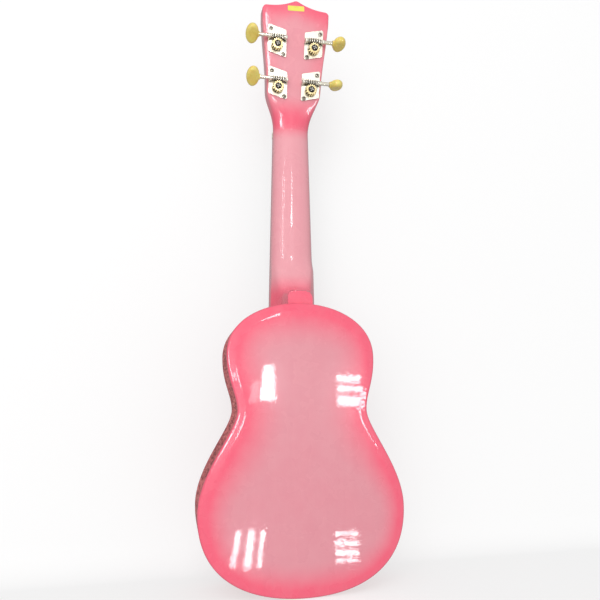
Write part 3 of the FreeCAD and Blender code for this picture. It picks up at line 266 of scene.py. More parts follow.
def bare_wood(name, light, dark, along, scale=1.0):
    """Sanded wood whose grain runs along x, y or z."""
    sh = Shader(name)
    squeeze = {"x": (1.2, 22, 22), "y": (22, 1.2, 22), "z": (22, 22, 1.2)}[along]
    where = sh.stretch(*squeeze)
    rings = sh.noise(9 * scale, 4.0, 0.6, where, 0.8)
    pores = sh.spread(sh.noise(70 * scale, 3.0, 0.7, where), 0.58, 0.72)
    color = sh.mix(sh.spread(rings, 0.3, 0.7), light, dark)
    color = sh.mix(sh.math("MULTIPLY", pores, 0.5), color, tuple(c * 0.35 for c in dark[:3]) + (1.0,))
    wear = sh.edge_wear(0.0004)
    color = sh.mix(sh.math("MULTIPLY", wear, 0.25), color, light)
    soft = sh.soft_edges(0.0003)
    return sh.finish(
        color=color, rough=sh.spread(rings, 0.3, 0.7, 0.5, 0.68), normal=sh.bump(pores, -0.00004, soft))


def board_wood():
    """Rosewood whose long edges are sprayed with the neck's colour."""
    sh = Shader("fingerboard_wood")
    where = sh.stretch(22, 22, 1.2)
    rings = sh.noise(12, 4.0, 0.6, where, 0.8)
    pores = sh.spread(sh.noise(98, 3.0, 0.7, where), 0.58, 0.72)
    wood = sh.mix(sh.spread(rings, 0.3, 0.7), srgb(112, 66, 50), srgb(62, 34, 28))
    wood = sh.mix(sh.math("MULTIPLY", pores, 0.5), wood, srgb(34, 18, 16))
    facing = sh.node("ShaderNodeNewGeometry").outputs["Normal"]
    aside = sh.node("ShaderNodeSeparateXYZ", {"Vector": facing}).outputs["X"]
    sprayed = sh.spread(sh.math("ABSOLUTE", aside), 0.6, 0.75)
    paint = sh.mix(sh.noise(90, 3.0), srgb(226, 128, 142), srgb(206, 106, 122))
    return sh.finish(
        color=sh.mix(sprayed, wood, paint), rough=sh.spread(rings, 0.3, 0.7, 0.45, 0.6),
        normal=sh.bump(pores, -0.00004, sh.soft_edges(0.0003)), coat=sprayed, coat_rough=0.05)


def nickel(name, tint, low, high):
    """Bright plate over stamped steel: clouded polish, rolled lines, a few pits, rubbed edges, and painted
    shade in its gaps and inner corners.
    """
    sh = Shader(name)
    cloud = sh.noise(160, 4.0)
    rolled = sh.noise(300, 2.0, 0.6, sh.stretch(0.08, 1.0, 1.0))
    pits = sh.spread(sh.cells(1100), 0.09, 0.03)
    wear = sh.edge_wear(0.00035)
    color = sh.mix(sh.spread(cloud, 0.3, 0.7, 0.0, 0.35), tint, tuple(c * 0.72 for c in tint[:3]) + (1.0,))
    color = sh.mix(sh.math("MULTIPLY", pits, 0.5), color, srgb(120, 112, 96))
    color = sh.mix(sh.math("MULTIPLY", wear, 0.35), color, srgb(250, 246, 236))
    # painted shade: the metal darkens towards dark brown in narrow gaps, inner corners and where parts meet
    grime_and_painted_shade = sh.spread(sh.nooks(0.0022), 0.35, 0.85)
    color = sh.mix(grime_and_painted_shade, srgb(58, 46, 38), color)
    rough = sh.math("ADD", sh.spread(cloud, 0.3, 0.7, low, high), sh.math("MULTIPLY", rolled, 0.08))
    normal = sh.bump(sh.math("SUBTRACT", rolled, pits), 0.000012, sh.soft_edges(0.00018))
    return sh.finish(color=color, metal=1.0, rough=rough, normal=normal)


def gear_brass():
    sh = Shader("gear_brass")
    cloud = sh.noise(240, 4.0)
    turned = sh.noise(700, 2.0, 0.5)
    wear = sh.edge_wear(0.0003)
    color = sh.mix(sh.spread(cloud, 0.35, 0.7), srgb(250, 234, 184), srgb(232, 204, 140))
    color = sh.mix(sh.math("MULTIPLY", wear, 0.6), color, srgb(255, 248, 220))
    # painted shade: the brass darkens to brown in the tooth gaps and inner corners
    color = sh.mix(sh.spread(sh.nooks(0.0016), 0.4, 0.9), srgb(70, 42, 18), color)
    return sh.finish(
        color=color, metal=1.0, rough=sh.spread(cloud, 0.3, 0.7, 0.2, 0.38),
        normal=sh.bump(turned, 0.000012, sh.soft_edges(0.00015)))


def dark_steel():
    """Blackened screws whose cross recess is coloured bright white."""
    sh = Shader("dark_steel")
    cloud = sh.noise(500, 3.0)
    wear = sh.edge_wear(0.00025)
    color = sh.mix(sh.spread(cloud, 0.3, 0.7), srgb(70, 66, 66), srgb(30, 28, 30))
    # the cross recess and other nooks turn bright white and lose their metal
    open_share = sh.spread(sh.nooks(0.0012), 0.45, 0.8)
    color = sh.mix(open_share, srgb(240, 238, 230), color)
    color = sh.mix(sh.math("MULTIPLY", wear, 0.7), color, srgb(206, 198, 184))
    return sh.finish(
        color=color, metal=open_share, rough=sh.spread(cloud, 0.3, 0.7, 0.22, 0.4),
        normal=sh.bump(cloud, 0.00001, sh.soft_edges(0.00015)))


def button_plastic():
    """Cream-yellow moulded buttons, deeper amber in random blotches, with faint swirls."""
    sh = Shader("button_plastic")
    swirl = sh.noise(150, 4.0, 0.6, None, 1.5)
    blotch = sh.noise(70, 2.0)
    color = sh.mix(sh.spread(blotch, 0.35, 0.7), srgb(243, 226, 116), srgb(234, 204, 92))
    color = sh.mix(sh.math("MULTIPLY", sh.spread(swirl, 0.4, 0.7), 0.3), color, srgb(253, 238, 160))
    return sh.finish(
        color=color, rough=sh.spread(swirl, 0.3, 0.7, 0.24, 0.36), normal=sh.bump(swirl, 0.00002),
        coat=0.5, coat_rough=0.12, sss=0.2, sss_scale=0.002)


def nylon():
    sh = Shader("nylon")
    cloud = sh.noise(300, 2.0, 0.5, sh.stretch(1.0, 1.0, 0.1))
    color = sh.mix(sh.spread(cloud, 0.3, 0.7), srgb(238, 236, 232), srgb(212, 210, 208))
    return sh.finish(
        color=color, rough=sh.spread(cloud, 0.3, 0.7, 0.18, 0.3), clear=0.25, ior=1.53,
        normal=sh.bump(cloud, 0.00001))


def bone():
    sh = Shader("bone")
    fibre = sh.noise(120, 4.0, 0.6, sh.stretch(1.0, 6.0, 6.0))
    color = sh.mix(sh.spread(fibre, 0.35, 0.7), srgb(238, 230, 208), srgb(220, 206, 174))
    return sh.finish(
        color=color, rough=sh.spread(fibre, 0.3, 0.7, 0.3, 0.42),
        normal=sh.bump(fibre, 0.00001, sh.soft_edges(0.0003)), sss=0.1, sss_scale=0.001)


def pearl():
    sh = Shader("pearl")
    sheen = sh.noise(260, 3.0, 0.6, None, 2.0)
    color = sh.mix(sh.spread(sheen, 0.35, 0.65), srgb(236, 240, 238), srgb(206, 214, 224))
    color = sh.mix(sh.math("MULTIPLY", sh.noise(420, 2.0), 0.3), color, srgb(240, 216, 224))
    return sh.finish(color=color, rough=0.16, coat=0.6, coat_rough=0.06, normal=sh.bump(sheen, 0.000008))


RING_PITCH = 0.00125


def rosette_rings():
    """Thin dark rings on a pale inlay, counted out from the soundhole's middle."""
    sh = Shader("rosette_rings")
    middle = (0.0, 0.0, HOLE_MIDDLE)
    apart = sh.node("ShaderNodeVectorMath", {0: sh.place, 1: middle}, operation="SUBTRACT").outputs[0]
    flat = sh.node("ShaderNodeVectorMath", {0: apart, 1: (1.0, 0.0, 1.0)}, operation="MULTIPLY").outputs[0]
    radius = sh.node("ShaderNodeVectorMath", {0: flat}, operation="LENGTH").outputs["Value"]
    wave = sh.math("SINE", sh.math("MULTIPLY", radius, 2 * math.pi / RING_PITCH))
    dark = sh.spread(wave, 0.15, 0.45)
    fleck = sh.noise(500, 3.0, 0.6)
    pale = sh.mix(sh.spread(fleck, 0.35, 0.7), srgb(246, 238, 226), srgb(226, 208, 190))
    color = sh.mix(dark, pale, srgb(96, 42, 50))
    return sh.finish(color=color, rough=0.25, coat=0.9, coat_rough=0.04, coat_normal=orange_peel(sh))


def yellow_label():
    """A plain yellow paper label, a little grubby, with nothing printed on it."""
    sh = Shader("yellow_label")
    fibre = sh.noise(900, 4.0)
    grime_and_painted_shade = sh.spread(sh.noise(160, 4.0), 0.5, 0.75)
    color = sh.mix(sh.math("MULTIPLY", grime_and_painted_shade, 0.35), srgb(240, 234, 88), srgb(200, 184, 66))
    color = sh.mix(sh.math("MULTIPLY", fibre, 0.15), color, srgb(255, 246, 160))
    rough = sh.spread(fibre, 0.3, 0.7, 0.42, 0.6)
    return sh.finish(color=color, rough=rough, normal=sh.bump(fibre, 0.00001))


def studio_white():
    """The floor and backdrop: near-white paper, seen through from behind so that any side can be viewed."""
    sh = Shader("studio_white")
    tooth = sh.noise(180, 3.0)
    shade = sh.mix(sh.math("MULTIPLY", tooth, 0.1), (0.36, 0.36, 0.36, 1), (0.34, 0.34, 0.34, 1))
    lit = sh.node("ShaderNodeBsdfDiffuse", {"Color": shade}).outputs[0]
    haze = sh.node("ShaderNodeEmission", {"Color": (1, 1, 1, 1), "Strength": 0.63}).outputs[0]
    paint = sh.node("ShaderNodeAddShader", {0: lit, 1: haze}).outputs[0]
    clear = sh.node("ShaderNodeBsdfTransparent").outputs[0]
    behind = sh.node("ShaderNodeNewGeometry").outputs["Backfacing"]
    both = sh.node("ShaderNodeMixShader", {0: behind, 1: paint, 2: clear})
    sh.tree.links.new(both.outputs[0], sh.out.inputs["Surface"])
    return sh.material


# ---------------------------------------------------------------- mesh helpers
def make_mesh(name, points, faces, materials, body, face_slots=None, attributes=None):
    """A new piece on a body. face_slots gives each face's material; attributes are one number per point."""
    mesh = bpy.data.meshes.new(name)
    mesh.from_pydata([tuple(map(float, p)) for p in points], [], [tuple(map(int, f)) for f in faces])
    for m in materials:
        mesh.materials.append(m)
    if face_slots is not None:
        mesh.polygons.foreach_set("material_index", np.array(face_slots, np.int32))
    for key, values in (attributes or {}).items():
        layer = mesh.attributes.new(key, "FLOAT", "POINT")
        layer.data.foreach_set("value", np.array(values, np.float32))
    mesh.validate()
    mesh.polygons.foreach_set("use_smooth", [True] * len(mesh.polygons))
    mesh.set_sharp_from_angle(angle=CREASE_ANGLE)
    made = bpy.data.objects.new(name, mesh)
    bpy.context.scene.collection.objects.link(made)
    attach(made, body)
    return made


def grid_faces(rows, columns, start=0, wrap=False, flip=False):
    faces = []
    for r in range(rows - 1):
        for c in range(columns if wrap else columns - 1):
            a, b = start + r * columns + c, start + r * columns + (c + 1) % columns
            quad = (a, b, b + columns, a + columns)
            faces.append(quad[::-1] if flip else quad)
    return faces


# ---------------------------------------------------------------- the body's outline and arch
def bezier(p0, p1, p2, p3, t):
    a = 1 - t
    return [a**3 * p0[i] + 3 * a * a * t * p1[i] + 3 * a * t * t * p2[i] + t**3 * p3[i] for i in (0, 1)]


def half_outline(inset=0.0, steps=44):
    """(x, z) up the +X edge from tail to neck, and moved inwards by inset."""
    length, (w1, z1) = BODY_LONG / MM, (LOWER_HALF / MM, 65.0)
    (w2, z2), (w3, z3) = (54.5, 142.0), (63.5, 189.0)
    spans = [
        ((0, 0), (46, 0), (w1, z1 - 48), (w1, z1)),
        ((w1, z1), (w1, z1 + 30), (w2, z2 - 15), (w2, z2)),
        ((w2, z2), (w2, z2 + 14), (w3, z3 - 23), (w3, z3)),
        ((w3, z3), (w3, z3 + 28), (33, length), (0, length)),
    ]
    points, normals = [], []
    for i, span in enumerate(spans):
        for t in np.linspace(0, 1, steps, endpoint=(i == 3)):
            x, z = bezier(*span, t)
            near, far = bezier(*span, max(t - 1e-4, 0)), bezier(*span, min(t + 1e-4, 1))
            run, rise = far[0] - near[0], far[1] - near[1]
            long = math.hypot(run, rise)
            points.append((x, z))
            normals.append((-rise / long, run / long))
    points, normals = np.array(points) * MM, np.array(normals)
    moved = points + normals * inset
    moved[0, 0] = moved[-1, 0] = 0.0
    return moved


OUTLINE = half_outline()
LOOP = np.vstack([OUTLINE, (OUTLINE * [-1, 1])[::-1][1:-1]])


# the burst's fade: how far in from the outline it starts and ends
FADE_START, FADE_END = 10.0 * MM, 41.0 * MM


def edge_distance(x, z):
    """How far each point lies inside the body's outline."""
    p = np.stack([np.ravel(x), np.ravel(z)], 1)
    a, b = LOOP, np.roll(LOOP, -1, 0)
    best = np.full(len(p), 1e9)
    for start, end in zip(a, b):
        d = end - start
        t = np.clip(((p - start) @ d) / (d @ d), 0, 1)
        best = np.minimum(best, np.hypot(*(p - start - t[:, None] * d).T))
    return best.reshape(np.shape(x))


def arch_depth(x, z):
    """Depth of the back's outer surface: an arc along the body carrying a tighter arc across it."""
    tail, neck = np.array([DEPTH_AT_TAIL, 0.0]), np.array([DEPTH_AT_NECK, BODY_LONG])
    along = neck - tail
    long = np.hypot(*along)
    outwards = np.array([along[1], -along[0]]) / long
    centre = (tail + neck) / 2 - outwards * math.sqrt(ARCH_LONG**2 - (long / 2) ** 2)
    radius = ARCH_LONG - ARCH_CROSS + np.sqrt(ARCH_CROSS**2 - np.square(x))
    return centre[0] + np.sqrt(radius**2 - np.square(z - centre[1]))


def burst_share(x, z, distance):
    """0 in the rim's colour, 1 in the middle; tighter round the lower bout and on the bass side."""
    lower = smooth((105 * MM - z) / (50 * MM))
    bass_side = smooth((-x - 20 * MM) / (40 * MM))
    tight = 1 - 0.30 * lower - 0.12 * bass_side
    start, end = FADE_START * tight, FADE_END * tight
    return 1 - (1 - np.clip((distance - start) / (end - start), 0, 1)) ** 1.7


# ---------------------------------------------------------------- body pieces
def back_depth(x, z):
    """Depth of the back as sanded: its arch, easing down a little near the rim."""
    return arch_depth(x, z) - RECURVE_DROP * (1 - smooth(edge_distance(x, z) / RECURVE))


def make_back(lacquer, wood):
    """The arched back with its rolled edge and a bare inner face."""
    def outer(inset_row, drop, share=1.0):
        flat = half_outline(inset_row)
        x, z = flat[:, 0] * share, flat[:, 1]
        return x, z, back_depth(x, z) - drop

    rows = [outer(0.0, BACK_THICK), outer(0.0, BACK_ROLL)]
    for turn in np.radians([12, 25, 38, 51, 64, 77, 90]):
        rows.append(outer(BACK_ROLL * (1 - math.cos(turn)), BACK_ROLL * (1 - math.sin(turn))))
    rolled_top = len(rows) - 1
    insets = np.array([2.8, 3.8, 5.0, 6.4, 8.0, 10.0, 12.5, 15.5, 19.0]) * MM
    for inset in insets:
        rows.append(outer(inset, 0.0))
    for share in np.linspace(1, 0, 17)[1:]:
        rows.append(outer(insets[-1], 0.0, share))
    inner = [(x, z, d - BACK_THICK) for x, z, d in rows[rolled_top:]][::-1]
    count = len(OUTLINE)
    halves = []
    for side in (1, -1):
        points = [np.stack([side * x, TOP_Y + d, z], 1) for x, z, d in inner + rows]
        halves.append(np.vstack(points))
    total = len(rows) + len(inner)
    faces = grid_faces(total, count, 0) + grid_faces(total, count, total * count, flip=True)
    slots = ([1] * (len(inner) * (count - 1)) + [0] * ((len(rows) - 1) * (count - 1))) * 2
    points = np.vstack(halves)
    distance = edge_distance(points[:, 0], points[:, 2])
    share = burst_share(points[:, 0], points[:, 2], distance)
    back = make_mesh(
        "lacquered_back", points, faces, [lacquer, wood], "instrument", slots, {"burst": share})
    weld(back)
    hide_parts("back_plate")


def weld(piece, apart=1e-6):
    """Joins the points that meet on the middle line, and drops faces with no area."""
    work = bmesh.new()
    work.from_mesh(piece.data)
    bmesh.ops.remove_doubles(work, verts=work.verts, dist=apart)
    bmesh.ops.dissolve_degenerate(work, dist=1e-7, edges=work.edges)
    bmesh.ops.recalc_face_normals(work, faces=work.faces)
    work.to_mesh(piece.data)
    work.free()
    piece.data.set_sharp_from_angle(angle=CREASE_ANGLE)


def make_soundboard(lacquer, wood):
    """The flat front: rolled outer edge, a filled middle with the soundhole open, and its bare rim."""
    roll = 0.9 * MM
    count = len(LOOP)

    def loop_row(inset, depth):
        half = half_outline(inset)
        loop = np.vstack([half, (half * [-1, 1])[::-1][1:-1]])
        return np.stack([loop[:, 0], np.full(count, TOP_Y + depth), loop[:, 1]], 1)

    rows = [loop_row(0.0, TOP_THICK)]
    for turn in np.radians([0, 20, 40, 60, 80, 90]):
        rows.append(loop_row(roll * (1 - math.cos(turn)), roll * (1 - math.sin(turn))))
    points = np.vstack(rows)
    faces = grid_faces(len(rows), count, 0, wrap=True)
    slots = [0] * len(faces)
    rim = (len(rows) - 1) * count
    edge = [Vector((p[0], p[2])) for p in rows[-1]]
    around = 128
    turns = np.linspace(0, 2 * math.pi, around, endpoint=False)
    hole = [Vector((HOLE_R * math.cos(t), HOLE_MIDDLE + HOLE_R * math.sin(t))) for t in turns]
    step = 5.0 * MM
    xs, zs = np.meshgrid(np.arange(-85, 86, 5.0) * MM, np.arange(2.5, BODY_LONG / MM + 1, 5.0) * MM)
    inside = (np.abs(xs) < np.interp(zs, OUTLINE[:, 1], OUTLINE[:, 0])) & (edge_distance(xs, zs) > step)
    inside &= np.hypot(xs, zs - HOLE_MIDDLE) > HOLE_R + step
    filler = [Vector((x, z)) for x, z in zip(xs[inside], zs[inside])]
    flat = edge + hole + filler
    loops = [list(range(count)), list(range(count, count + len(hole)))[::-1]]
    made, _, triangles, _, _, _ = delaunay_2d_cdt(flat, [], loops, 1, 1e-9)
    made = np.array([(v.x, v.y) for v in made])
    triangles = [
        t for t in triangles
        if math.hypot(made[t, 0].mean(), made[t, 1].mean() - HOLE_MIDDLE) > HOLE_R * 0.999
    ]
    base = len(points)
    front = np.stack([made[:, 0], np.full(len(made), TOP_Y), made[:, 1]], 1)
    under = front + [0, TOP_THICK, 0]
    points = np.vstack([points, front, under])
    faces += [tuple(base + i for i in t) for t in triangles]
    slots += [0] * len(triangles)
    faces += [tuple(base + len(made) + i for i in reversed(t)) for t in triangles]
    slots += [1] * len(triangles)
    start = len(points)
    wall = [
        np.stack([
            HOLE_R * np.cos(turns), np.full(around, TOP_Y + d), HOLE_MIDDLE + HOLE_R * np.sin(turns)], 1)
        for d in (0.0, TOP_THICK)
    ]
    points = np.vstack([points] + wall)
    wall_faces = grid_faces(2, around, start, wrap=True)
    faces += wall_faces
    slots += [1] * len(wall_faces)
    distance = edge_distance(points[:, 0], points[:, 2])
    share = burst_share(points[:, 0], points[:, 2], distance)
    board = make_mesh(
        "lacquered_soundboard", points, faces, [lacquer, wood], "instrument", slots, {"burst": share})
    weld(board)
    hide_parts("soundboard")


def make_side(side, node, lacquer, wood):
    """One bent rib, lacquered outside and bare inside."""
    flat, inner = half_outline(0.0), half_outline(SIDE_THICK)
    run = np.concatenate([[0], np.cumsum(np.hypot(*np.diff(flat, axis=0).T))])
    shares = np.linspace(0, 1, 9)
    points, runs, across, burst = [], [], [], []
    for path, order in ((flat, shares), (inner, shares[::-1])):
        top = arch_depth(path[:, 0], path[:, 1]) - BACK_THICK - RECURVE_DROP * (path is flat)
        for share in order:
            depth = TOP_THICK + (top - TOP_THICK) * share
            points.append(np.stack([side * path[:, 0], TOP_Y + depth, path[:, 1]], 1))
            runs.append(run)
            across.append(depth)
            burst.append(np.minimum(1.0, np.minimum(depth - TOP_THICK, top - depth) / (7 * MM)))
    points.append(points[0])
    runs.append(run)
    across.append(across[0])
    burst.append(burst[0])
    count = len(flat)
    faces = grid_faces(len(points), count, flip=(side < 0))
    outer_strips = len(shares) - 1
    slots = [0 if i // (count - 1) < outer_strips else 1 for i in range(len(faces))]
    rib = make_mesh(
        "lacquered_" + node, np.vstack(points), faces, [lacquer, wood], "instrument", slots,
        {"run": np.concatenate(runs), "across": np.concatenate(across), "burst": np.concatenate(burst)})
    weld(rib)
    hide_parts(node)


# ---------------------------------------------------------------- neck
def spline_weights(breaks, samples):
    """Weights that turn rows of poles into points along a cubic with these breaks and its ends held."""
    knots = np.concatenate([[breaks[0]] * 3, breaks, [breaks[-1]] * 3])
    at = np.clip(samples, breaks[0], breaks[-1] - 1e-9)[:, None]
    basis = ((at >= knots[:-1]) & (at < knots[1:])).astype(float)
    for degree in (1, 2, 3):
        low, high = knots[: -degree - 1], knots[degree + 1 :]
        rise, fall = knots[degree:-1] - low, high - knots[1:-degree]
        up = np.divide(at - low, rise, out=np.zeros_like(at - low), where=rise > 0)
        down = np.divide(high - at, fall, out=np.zeros_like(high - at), where=fall > 0)
        basis = basis[:, :-1] * up + basis[:, 1:] * down
    return basis


def pole_places(breaks):
    """Where the poles stand so that equal steps of the cubic's parameter are equal distances."""
    padded = np.concatenate([[breaks[0]] * 2, breaks, [breaks[-1]] * 2])
    return (padded[:-2] + padded[1:-1] + padded[2:]) / 3


HALF_TURNS = np.linspace(0, math.pi / 2, 21)
TURNS = np.linspace(0, math.pi, 41)
BODY_END, NUT_AT, CREASE_AT = BODY_LONG / MM, NUT_Z / MM, CREASE_Z / MM
SHOULDER_HALF, SHOULDER_S, TOP_HALF, CORNER_S = 26.9, 38.0, 33.0, 114.5
TIP_S = 126.0
HEAD_DEEP, HEAD_ROUND = HEAD_THICK / MM, HEAD_EDGE_ROUND / MM
CAP_DEPTH = HEEL_DEPTH / MM


def heel_depth(x, z):
    """Depth of the heel's carved flank, in millimetres, found by halving the range."""
    low, high = np.full(x.shape, -60.0), np.full(x.shape, CAP_DEPTH + 6.0)
    run = max(0.0, z - BODY_END)
    cap_half, cap_long = HEEL_CAP_HALF / MM, HEEL_CAP_LONG / MM
    for _ in range(34):
        depth = (low + high) / 2
        taper = np.where(depth <= CAP_DEPTH, 1.0, 1 - 0.03 * (depth - CAP_DEPTH))
        share = np.maximum(0.0, CAP_DEPTH - depth)
        wide = cap_half + (JOINT_HALF / MM + HEEL_FLARE - cap_half) * (share / (CAP_DEPTH - 6)) ** 2
        reach = share / (CAP_DEPTH - NECK_DEPTH_HEEL / MM)
        long = cap_long + 4 * reach + 22 * reach**5
        outside = (np.abs(x) / (wide * taper)) ** HEEL_SQUARE + (run / (long * taper)) ** HEEL_SQUARE > 1
        high, low = np.where(outside, depth, high), np.where(outside, low, depth)
    return low


def shaft_row(z):
    share = (z - BODY_END) / (NUT_AT - BODY_END)
    half = mix_number(JOINT_HALF, NUT_HALF, min(share, 1.0)) / MM
    deep = mix_number(NECK_DEPTH_HEEL, NECK_DEPTH_NUT, share) / MM
    x = half * np.cos(TURNS)
    round_back = deep * np.sin(TURNS).clip(0) ** 0.85
    heel = heel_depth(x, z) if z < BODY_END + 45 else np.full(x.shape, -60.0)
    gap = round_back - heel
    depth = 0.5 * (round_back + heel + np.sqrt(gap * gap + 6.25 * np.sin(TURNS).clip(0)))
    depth = np.minimum(depth, CAP_DEPTH + 4)
    depth[[0, -1]] = 0.0
    return np.stack([x, depth, np.full(x.shape, z)], 1)


def head_half(s):
    if s <= SHOULDER_S:
        share = max(s, 0.0) / SHOULDER_S
        return NUT_HALF / MM + (SHOULDER_HALF - NUT_HALF / MM) * share**2.5 * (3.5 - 2.5 * share)
    share = min((s - SHOULDER_S) / (CORNER_S - SHOULDER_S), 1.0)
    return SHOULDER_HALF + (TOP_HALF - SHOULDER_HALF) * share * share * (3 - 2 * share)


def head_row(s):
    """Poles (x, thickness, s) turning from the neck's round back to the flat slab with rounded edges."""
    share = min(s / SHOULDER_S, 1.0)
    flat, half = share * share * (3 - 2 * share), head_half(s)
    deep = HEAD_DEEP + 0.6 * (1 - flat)
    round_x, round_d = half * np.cos(HALF_TURNS), deep * np.sin(HALF_TURNS) ** 0.85
    corner = np.linspace(0, math.pi / 2, 6)[1:]
    slab_x = np.concatenate([
        np.full(6, half), half - HEAD_ROUND * (1 - np.cos(corner)),
        (half - HEAD_ROUND) * np.linspace(0.9, 0, 10)])
    slab_d = np.concatenate([
        (HEAD_DEEP - HEAD_ROUND) * np.arange(6) / 5, HEAD_DEEP - HEAD_ROUND * (1 - np.sin(corner)),
        np.full(10, HEAD_DEEP)])
    x, d = mix_number(round_x, slab_x, flat), mix_number(round_d, slab_d, flat)
    return np.stack([np.append(x, -x[-2::-1]), np.append(d, d[-2::-1]), np.full(41, float(s))], 1)


# where the neck's skin has its breaks: above the body, below the nut, and above the crease
HEEL_BREAKS = (-10, 0, 3, 5.5, 7.5, 9, 10, 11, 12, 13, 14, 15.5, 17.5, 20, 23, 27, 32, 38, 45)
SHAFT_BREAKS = (119, 107, 92, 77, 62, 47, 32, 19)
HEAD_BREAKS = np.array([
    0, 7.6, 11.4, 15.2, 19, 22.8, 26.6, 30.4, 34.2, 38, 44, 52, 62, 72, 82, 92, 102, 112, 130])


def head_poles():
    return np.array([head_row(s) for s in pole_places(HEAD_BREAKS)])


def skin_breaks():
    """Breaks across every carved section, spaced like the points of the round and the flat form."""
    steps = [np.hypot(*np.diff(head_row(s)[:, :2], axis=0).T) for s in (0, SHOULDER_S)]
    places = np.concatenate([[0], np.cumsum(sum(steps) / 2)])
    return np.concatenate([places[:1], places[2:-2], places[-1:]])


def crown_line():
    """The headstock's top edge as (x, s): clipped corners, a dip on each side, and a small peak."""
    corner, shoulder = (TOP_HALF, CORNER_S + 1), (TOP_HALF - 3.2, CORNER_S + 4.3)
    bend, tip = (corner[0] - 1.4, shoulder[1] - 0.4), (2.6, TIP_S - 0.9)
    dip = ((shoulder[0] - 13, shoulder[1] + 0.3), (tip[0] + 6, TIP_S - 3.8))
    points = []
    for t in np.linspace(0, 1, 9):
        a = 1 - t
        points.append([a * a * corner[i] + 2 * a * t * bend[i] + t * t * shoulder[i] for i in (0, 1)])
    points += [bezier(shoulder, *dip, tip, t) for t in np.linspace(0, 1, 25)[1:]]
    peak = (tip, (0.8, TIP_S + 0.14), (-0.8, TIP_S + 0.14), (-tip[0], tip[1]))
    points += [bezier(*peak, t) for t in np.linspace(0, 0.5, 7)[1:]]
    return np.array(points)[::-1]


CROWN = crown_line()


def crown_at(x):
    return np.interp(np.abs(x), CROWN[:, 0], CROWN[:, 1])


def head_place(x, s, deep):
    """Points over the headstock, in row-frame metres; deep is measured back from its front face."""
    depth = s * math.sin(HEAD_TILT) + deep * math.cos(HEAD_TILT)
    z = CREASE_AT + s * math.cos(HEAD_TILT) - deep * math.sin(HEAD_TILT)
    return np.stack([x * MM, TOP_Y + depth * MM, z * MM], -1)


def make_neck(lacquer):
    """Heel, shaft and headstock in one skin, with a flat front and a shaped crown."""
    across_breaks = skin_breaks()
    middles = (across_breaks[1:] + across_breaks[:-1]) / 2
    across = spline_weights(across_breaks, np.sort(np.concatenate([across_breaks, middles])))
    breaks = np.array(
        [BODY_END + b for b in HEEL_BREAKS] + [NUT_AT - b for b in SHAFT_BREAKS] + [CREASE_AT])
    poles = [shaft_row(z) for z in pole_places(breaks)[:-1]]
    first_head = head_row(0)
    crease = head_place(first_head[:, 0], first_head[:, 2], first_head[:, 1])
    poles.append(np.stack([crease[:, 0], crease[:, 1] - TOP_Y, crease[:, 2]], 1) / MM)
    low = BODY_END - 3
    levels = np.concatenate([np.linspace(low, low + 60, 110), np.linspace(low + 60, CREASE_AT, 44)[1:]])
    along = spline_weights(breaks, levels)
    poles = np.array(poles)
    shaft = np.einsum("ur,rcx,vc->uvx", along, poles, across)
    shaft[..., 1] = CAP_DEPTH - np.logaddexp(0, (CAP_DEPTH - shaft[..., 1]) / 0.12) * 0.12
    front_share = np.linspace(0, 1, 16)[1:-1]

    def close(rows):
        strip = rows[:, -1:, :] + (rows[:, :1, :] - rows[:, -1:, :]) * front_share[None, :, None]
        strip[..., 1] = 0.0
        return np.concatenate([rows, strip], 1)

    shaft = close(shaft)
    above_body, below_crease = shaft[..., 2] - BODY_END, CREASE_AT - shaft[..., 2]
    burst = np.minimum(smooth((above_body - 8) / 26), smooth((below_crease + 8) / 22))
    places = [np.stack([shaft[..., 0], shaft[..., 1] + TOP_Y / MM, shaft[..., 2]], -1) * MM]

    along = spline_weights(HEAD_BREAKS, np.linspace(0, 130, 120)[1:])
    head = close(np.einsum("ur,rcx,vc->uvx", along, head_poles(), across))
    x, deep, s = head[..., 0], head[..., 1], head[..., 2]
    easing, top = 0.8, crown_at(x)
    s = np.where(s > 100, 100 + (s - 100) * (top - easing - 100) / 30, s)
    for turn in np.radians([22, 45, 67, 90]):
        x, deep, s, top = (np.vstack([a, a[-1:]]) for a in (x, deep, s, top))
        s[-1] = top[-1] - easing * (1 - math.sin(turn))
        deep[-1] = np.minimum(deep[-1], HEAD_DEEP - easing * (1 - math.cos(turn)))
    places.append(head_place(x, s, deep))
    edge = np.minimum(head_edge_gap(x, s), top - s)
    head_burst = np.minimum(smooth((s - 8) / 34), smooth(edge / 20) * 0.3 + 0.55 * smooth((top - s) / 24))
    head_burst += smooth((8 - s) / 22)
    burst = np.vstack([burst, head_burst])

    points = np.concatenate([p.reshape(-1, 3) for p in places])
    columns, rows = shaft.shape[1], len(burst)
    faces = grid_faces(rows, columns, 0, wrap=True)
    back_count = len(across)
    wall_rows = 6
    x_end, s_end, deep_end = x[-1, :back_count], s[-1, :back_count], deep[-1, :back_count]
    wall = np.concatenate([
        head_place(x_end, s_end, deep_end * (1 - share)) for share in np.linspace(0, 1, wall_rows)])
    faces += grid_faces(wall_rows, back_count, len(points))
    points = np.vstack([points, wall])
    burst = np.concatenate([burst.ravel(), np.zeros(len(wall))])
    neck = make_mesh("lacquered_neck", points, faces, [lacquer], "instrument", None, {"burst": burst})
    weld(neck)
    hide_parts("neck")


def head_edge_gap(x, s):
    """How far in from the headstock's long edges."""
    half = np.interp(s, np.arange(0, 131.0), [head_half(v) for v in range(131)])
    return half - np.abs(x)


# ---------------------------------------------------------------- window strips mirrored in the lacquer
BAR_FAR = 1.1    # how far the strips hang from the lacquer, in metres


def unit(vectors):
    return vectors / np.linalg.norm(vectors, axis=-1, keepdims=True)


